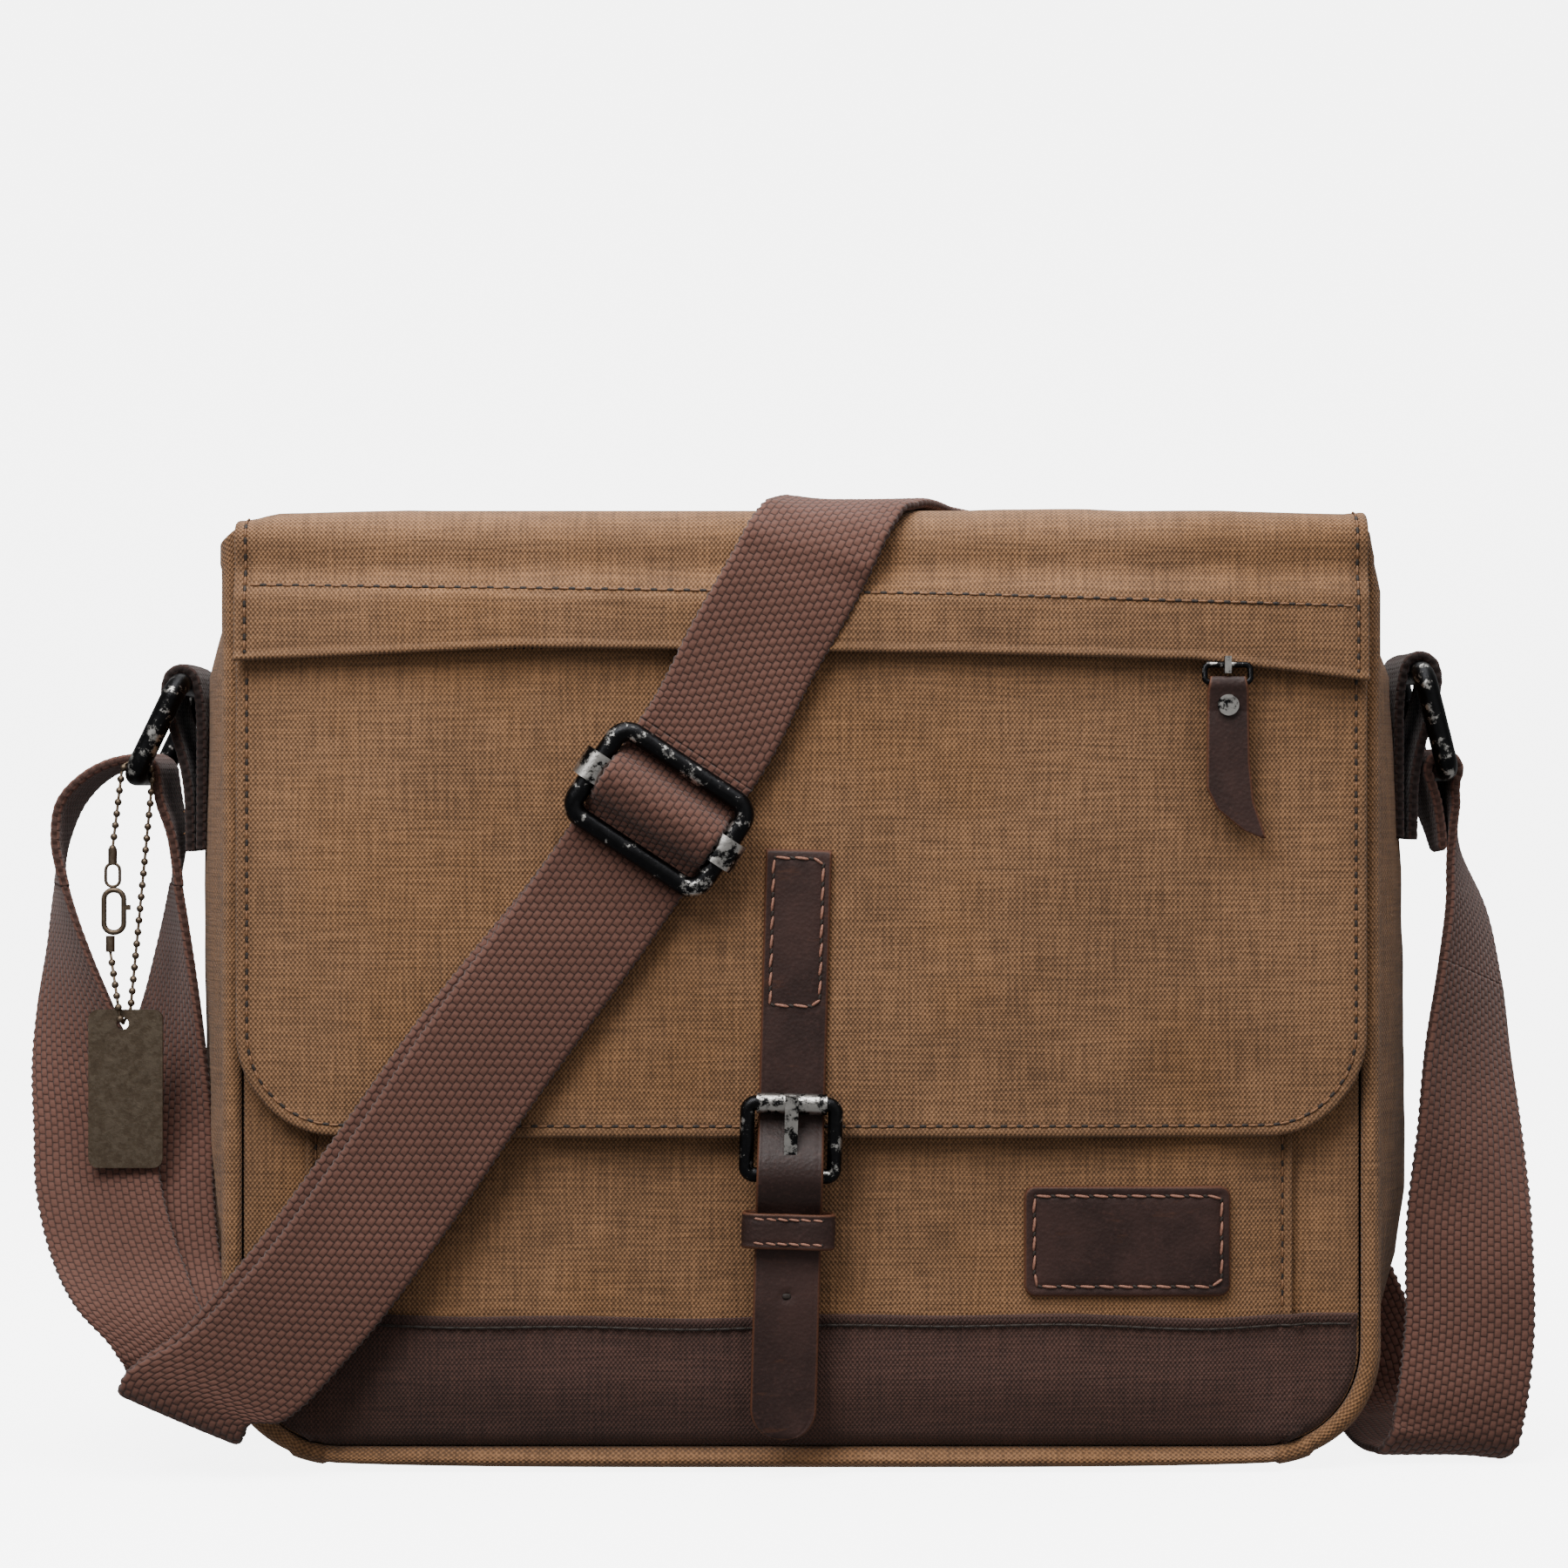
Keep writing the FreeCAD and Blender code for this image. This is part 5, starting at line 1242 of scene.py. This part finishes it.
        run = [((212, -10, 150), (0.6, 0.8, 0)), ((212, -3.5, 172), (0.41, 0.91, 0)),
               ((208.7, 1.5, 190), (0.17, 0.98, 0)), ((206.3, 3, 202), Y_WAY)]
        run += round_bar(RING_BAR_RIGHT, -30, 211, 24, Y_WAY)
        run += [((200.2, 3.0, 203.5), Y_WAY), ((202.2, 2.6, 196.0), (0.05, 0.99, 0)),
                ((203.7, 2.2, 188.5), (0.10, 0.98, 0))]
        piece, long = webbing("strap_right_ring_turn", run, before=[down[-2]], tips=(0, 1))
        declare(piece, long, "ring_right")
        bent(piece, "webbing", "bag", "ring_right", (206, 0, 152), (206, 0, 201), "strap_right_ring_turn")
        run = [INNER_LOOP[0], ((-199.5, 3.0, 195), turned(3)), ((-201.9, 3.0, 205.0), DEPTH_WAY)]
        run += round_bar(RING_BAR_LEFT, 0, 106, 15, DEPTH_WAY)
        run += [((-217.0, 3.0, 216.4), DEPTH_WAY), ((-225.5, 3.0, 212.0), DEPTH_WAY),
                ((-232.5, 3, 204.5), DEPTH_WAY), ((-235.8, 2.0, 193), turned(5)), OUTER_LOOP[0]]
        piece, long = webbing("strap_left_ring_turn", run, slanted=True, before=[INNER_LOOP[1]],
                              after=[OUTER_LOOP[1]])
        declare(piece, long, "ring_left")
        bent(piece, "webbing", "bag", "ring_left", (-206, 0, 178.5), (-206, 0, 204), "strap_left_ring_turn")
        dress("worn_black_metal", "strap_slider_frame", "strap_slider_bar")
        return {"FINISHED"}


class BAG_OT_tabs(bpy.types.Operator):
    """Fold the webbing tabs round the side rings and finish the rings"""
    bl_idname = "bag.tabs"
    bl_label = "Side tabs and rings"

    def execute(self, context):
        fold = [(-6.2, -52.0), (-6.3, -40), (-6.3, -24), (-6.1, -9), (-5.2, -1.6), (-3.5, 3.4), (0.0, 5.1), (3.6, 3.5),
                (5.2, -0.6), (4.6, -7), (2.4, -15), (0.0, -23), (-1.8, -33), (-2.4, -45), (-2.5, -52.5)]
        for side, sign in (("left", -1), ("right", 1)):
            lo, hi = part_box("strap_tab_" + side)
            cx, top = sign * 194.5, mm(hi[2]) - 6.6
            run = [((cx + sign * x, 1.5, top + z), Y_WAY) for x, z in fold]
            piece, long = webbing("side_tab_" + side, run, "tab_webbing")
            keep(piece, "bag", "tab_webbing", "strap_tab_" + side)
            rows = []
            for depth in (-47.0, -40.0):
                x = cx - sign * 2.4 + sign * 1.75
                rows.append(([(x, y, top + depth) for y in np.linspace(-16, 19, 30)], (sign, 0, 0)))
            sewn("side_tab_" + side, rows, "bag", "tab_webbing", "canvas_thread", 4.0, 3.0, 0.38)
        dress("worn_black_metal", "ring_left", "ring_right", "zip_slider", "zip_pull_ring", "zip_pull_rivet")
        return {"FINISHED"}


class BAG_OT_tag(bpy.types.Operator):
    """Finish the hanging tag, its ball chain and clasp"""
    bl_idname = "bag.tag"
    bl_label = "Hanging tag"

    def execute(self, context):
        dress("aged_bronze", "tag_plate", "tag_chain_upper", "tag_chain_lower", "chain_cap_upper", "chain_cap_lower",
              "clasp_link", "clasp_body")
        return {"FINISHED"}


class BAG_OT_stage(bpy.types.Operator):
    """Set the pale floor, the soft lights and the camera"""
    bl_idname = "bag.stage"
    bl_label = "Floor, lights and camera"

    def execute(self, context):
        scene = context.scene
        ys = [-4.0, -2.0, 0.0, 1.6] + [1.6 + 1.2 * math.sin(math.radians(a)) for a in range(10, 91, 10)] + [2.8]
        zs = [0.0] * 4 + [1.2 - 1.2 * math.cos(math.radians(a)) for a in range(10, 91, 10)] + [5.0]
        points = [(x, y, z) for y, z in zip(ys, zs) for x in (-5.0, 5.0)]
        faces = [(2 * i, 2 * i + 1, 2 * i + 3, 2 * i + 2) for i in range(len(ys) - 1)]
        mesh = bpy.data.meshes.new("studio_floor")
        mesh.from_pydata(points, [], faces)
        mesh.polygons.foreach_set("use_smooth", [True] * len(mesh.polygons))
        f = Finish("studio_paper")
        fine = f.noise(f.place(), 30.0, 3.0)
        f.link(f.band(fine, 0.2, 0.8, 0.82, 0.90), "Roughness")
        f.set(base_color=(0.90, 0.90, 0.90, 1.0), emission_color=(1.0, 1.0, 1.0, 1.0), emission_strength=5.5)
        mesh.materials.append(f.material)
        floor = bpy.data.objects.new("studio_floor", mesh)
        scene.collection.objects.link(floor)
        floor.visible_diffuse = False
        floor.visible_glossy = False
        aim = Vector((0.0, -0.02, 0.14))
        for name, place, size, power in (("key_light", (-0.55, -1.00, 1.20), 0.75, 18.5),
                                         ("fill_light", (1.3, -1.9, 0.9), 2.0, 4.5),
                                         ("top_light", (0.02, -0.26, 1.10), 0.9, 15.0),
                                         ("back_light", (0.3, 1.1, 2.0), 1.8, 14.0)):
            light = bpy.data.lights.new(name, "AREA")
            light.shape, light.size, light.energy = "SQUARE", size, power
            lamp = bpy.data.objects.new(name, light)
            lamp.location = place
            lamp.rotation_euler = (aim - Vector(place)).to_track_quat("-Z", "Y").to_euler()
            scene.collection.objects.link(lamp)
        world = bpy.data.worlds.new("studio_air")
        world.use_nodes = True
        world.node_tree.nodes["Background"].inputs["Color"].default_value = (1.0, 1.0, 1.0, 1.0)
        world.node_tree.nodes["Background"].inputs["Strength"].default_value = 0.30
        scene.world = world
        lens = bpy.data.cameras.new("camera")
        lens.lens, lens.sensor_width, lens.clip_start = 86.6, 36.0, 0.01
        camera = bpy.data.objects.new("camera", lens)
        camera.location = (-0.0053, -1.202, 0.210)
        camera.rotation_euler = (math.radians(90), 0.0, 0.0)
        scene.collection.objects.link(camera)
        scene.camera = camera
        return {"FINISHED"}


STEPS = (BAG_OT_stage, BAG_OT_body, BAG_OT_lining, BAG_OT_pocket, BAG_OT_flap, BAG_OT_zip, BAG_OT_closing_strap,
         BAG_OT_shoulder_strap, BAG_OT_tabs, BAG_OT_tag)
GROUPS = {"bag_body": BagBodySizes, "bag_flap": BagFlapSizes, "bag_strap": BagStrapSizes,
          "bag_finishes": BagFinishes}


class BAG_PT_maker(bpy.types.Panel):
    """Lists the bag's pieces and their sizes"""
    bl_idname = "BAG_PT_maker"
    bl_label = "Messenger bag"
    bl_space_type = "VIEW_3D"
    bl_region_type = "UI"
    bl_category = "Bag"

    def draw(self, context):
        for name, group in GROUPS.items():
            box = self.layout.box()
            for field in group.__annotations__:
                box.prop(getattr(context.scene, name), field)
        for step in STEPS:
            self.layout.operator(step.bl_idname)


def register():
    for group in GROUPS.values():
        bpy.utils.register_class(group)
    for name, group in GROUPS.items():
        setattr(bpy.types.Scene, name, bpy.props.PointerProperty(type=group))
    for part in STEPS + (BAG_PT_maker,):
        bpy.utils.register_class(part)


def unregister():
    for part in reversed(STEPS + (BAG_PT_maker,)):
        bpy.utils.unregister_class(part)
    for name, group in reversed(GROUPS.items()):
        delattr(bpy.types.Scene, name)
        bpy.utils.unregister_class(group)


def main():
    register()
    for step in STEPS:
        group, name = step.bl_idname.split(".")
        getattr(getattr(bpy.ops, group), name)()


if __name__ == "__main__":
    main()
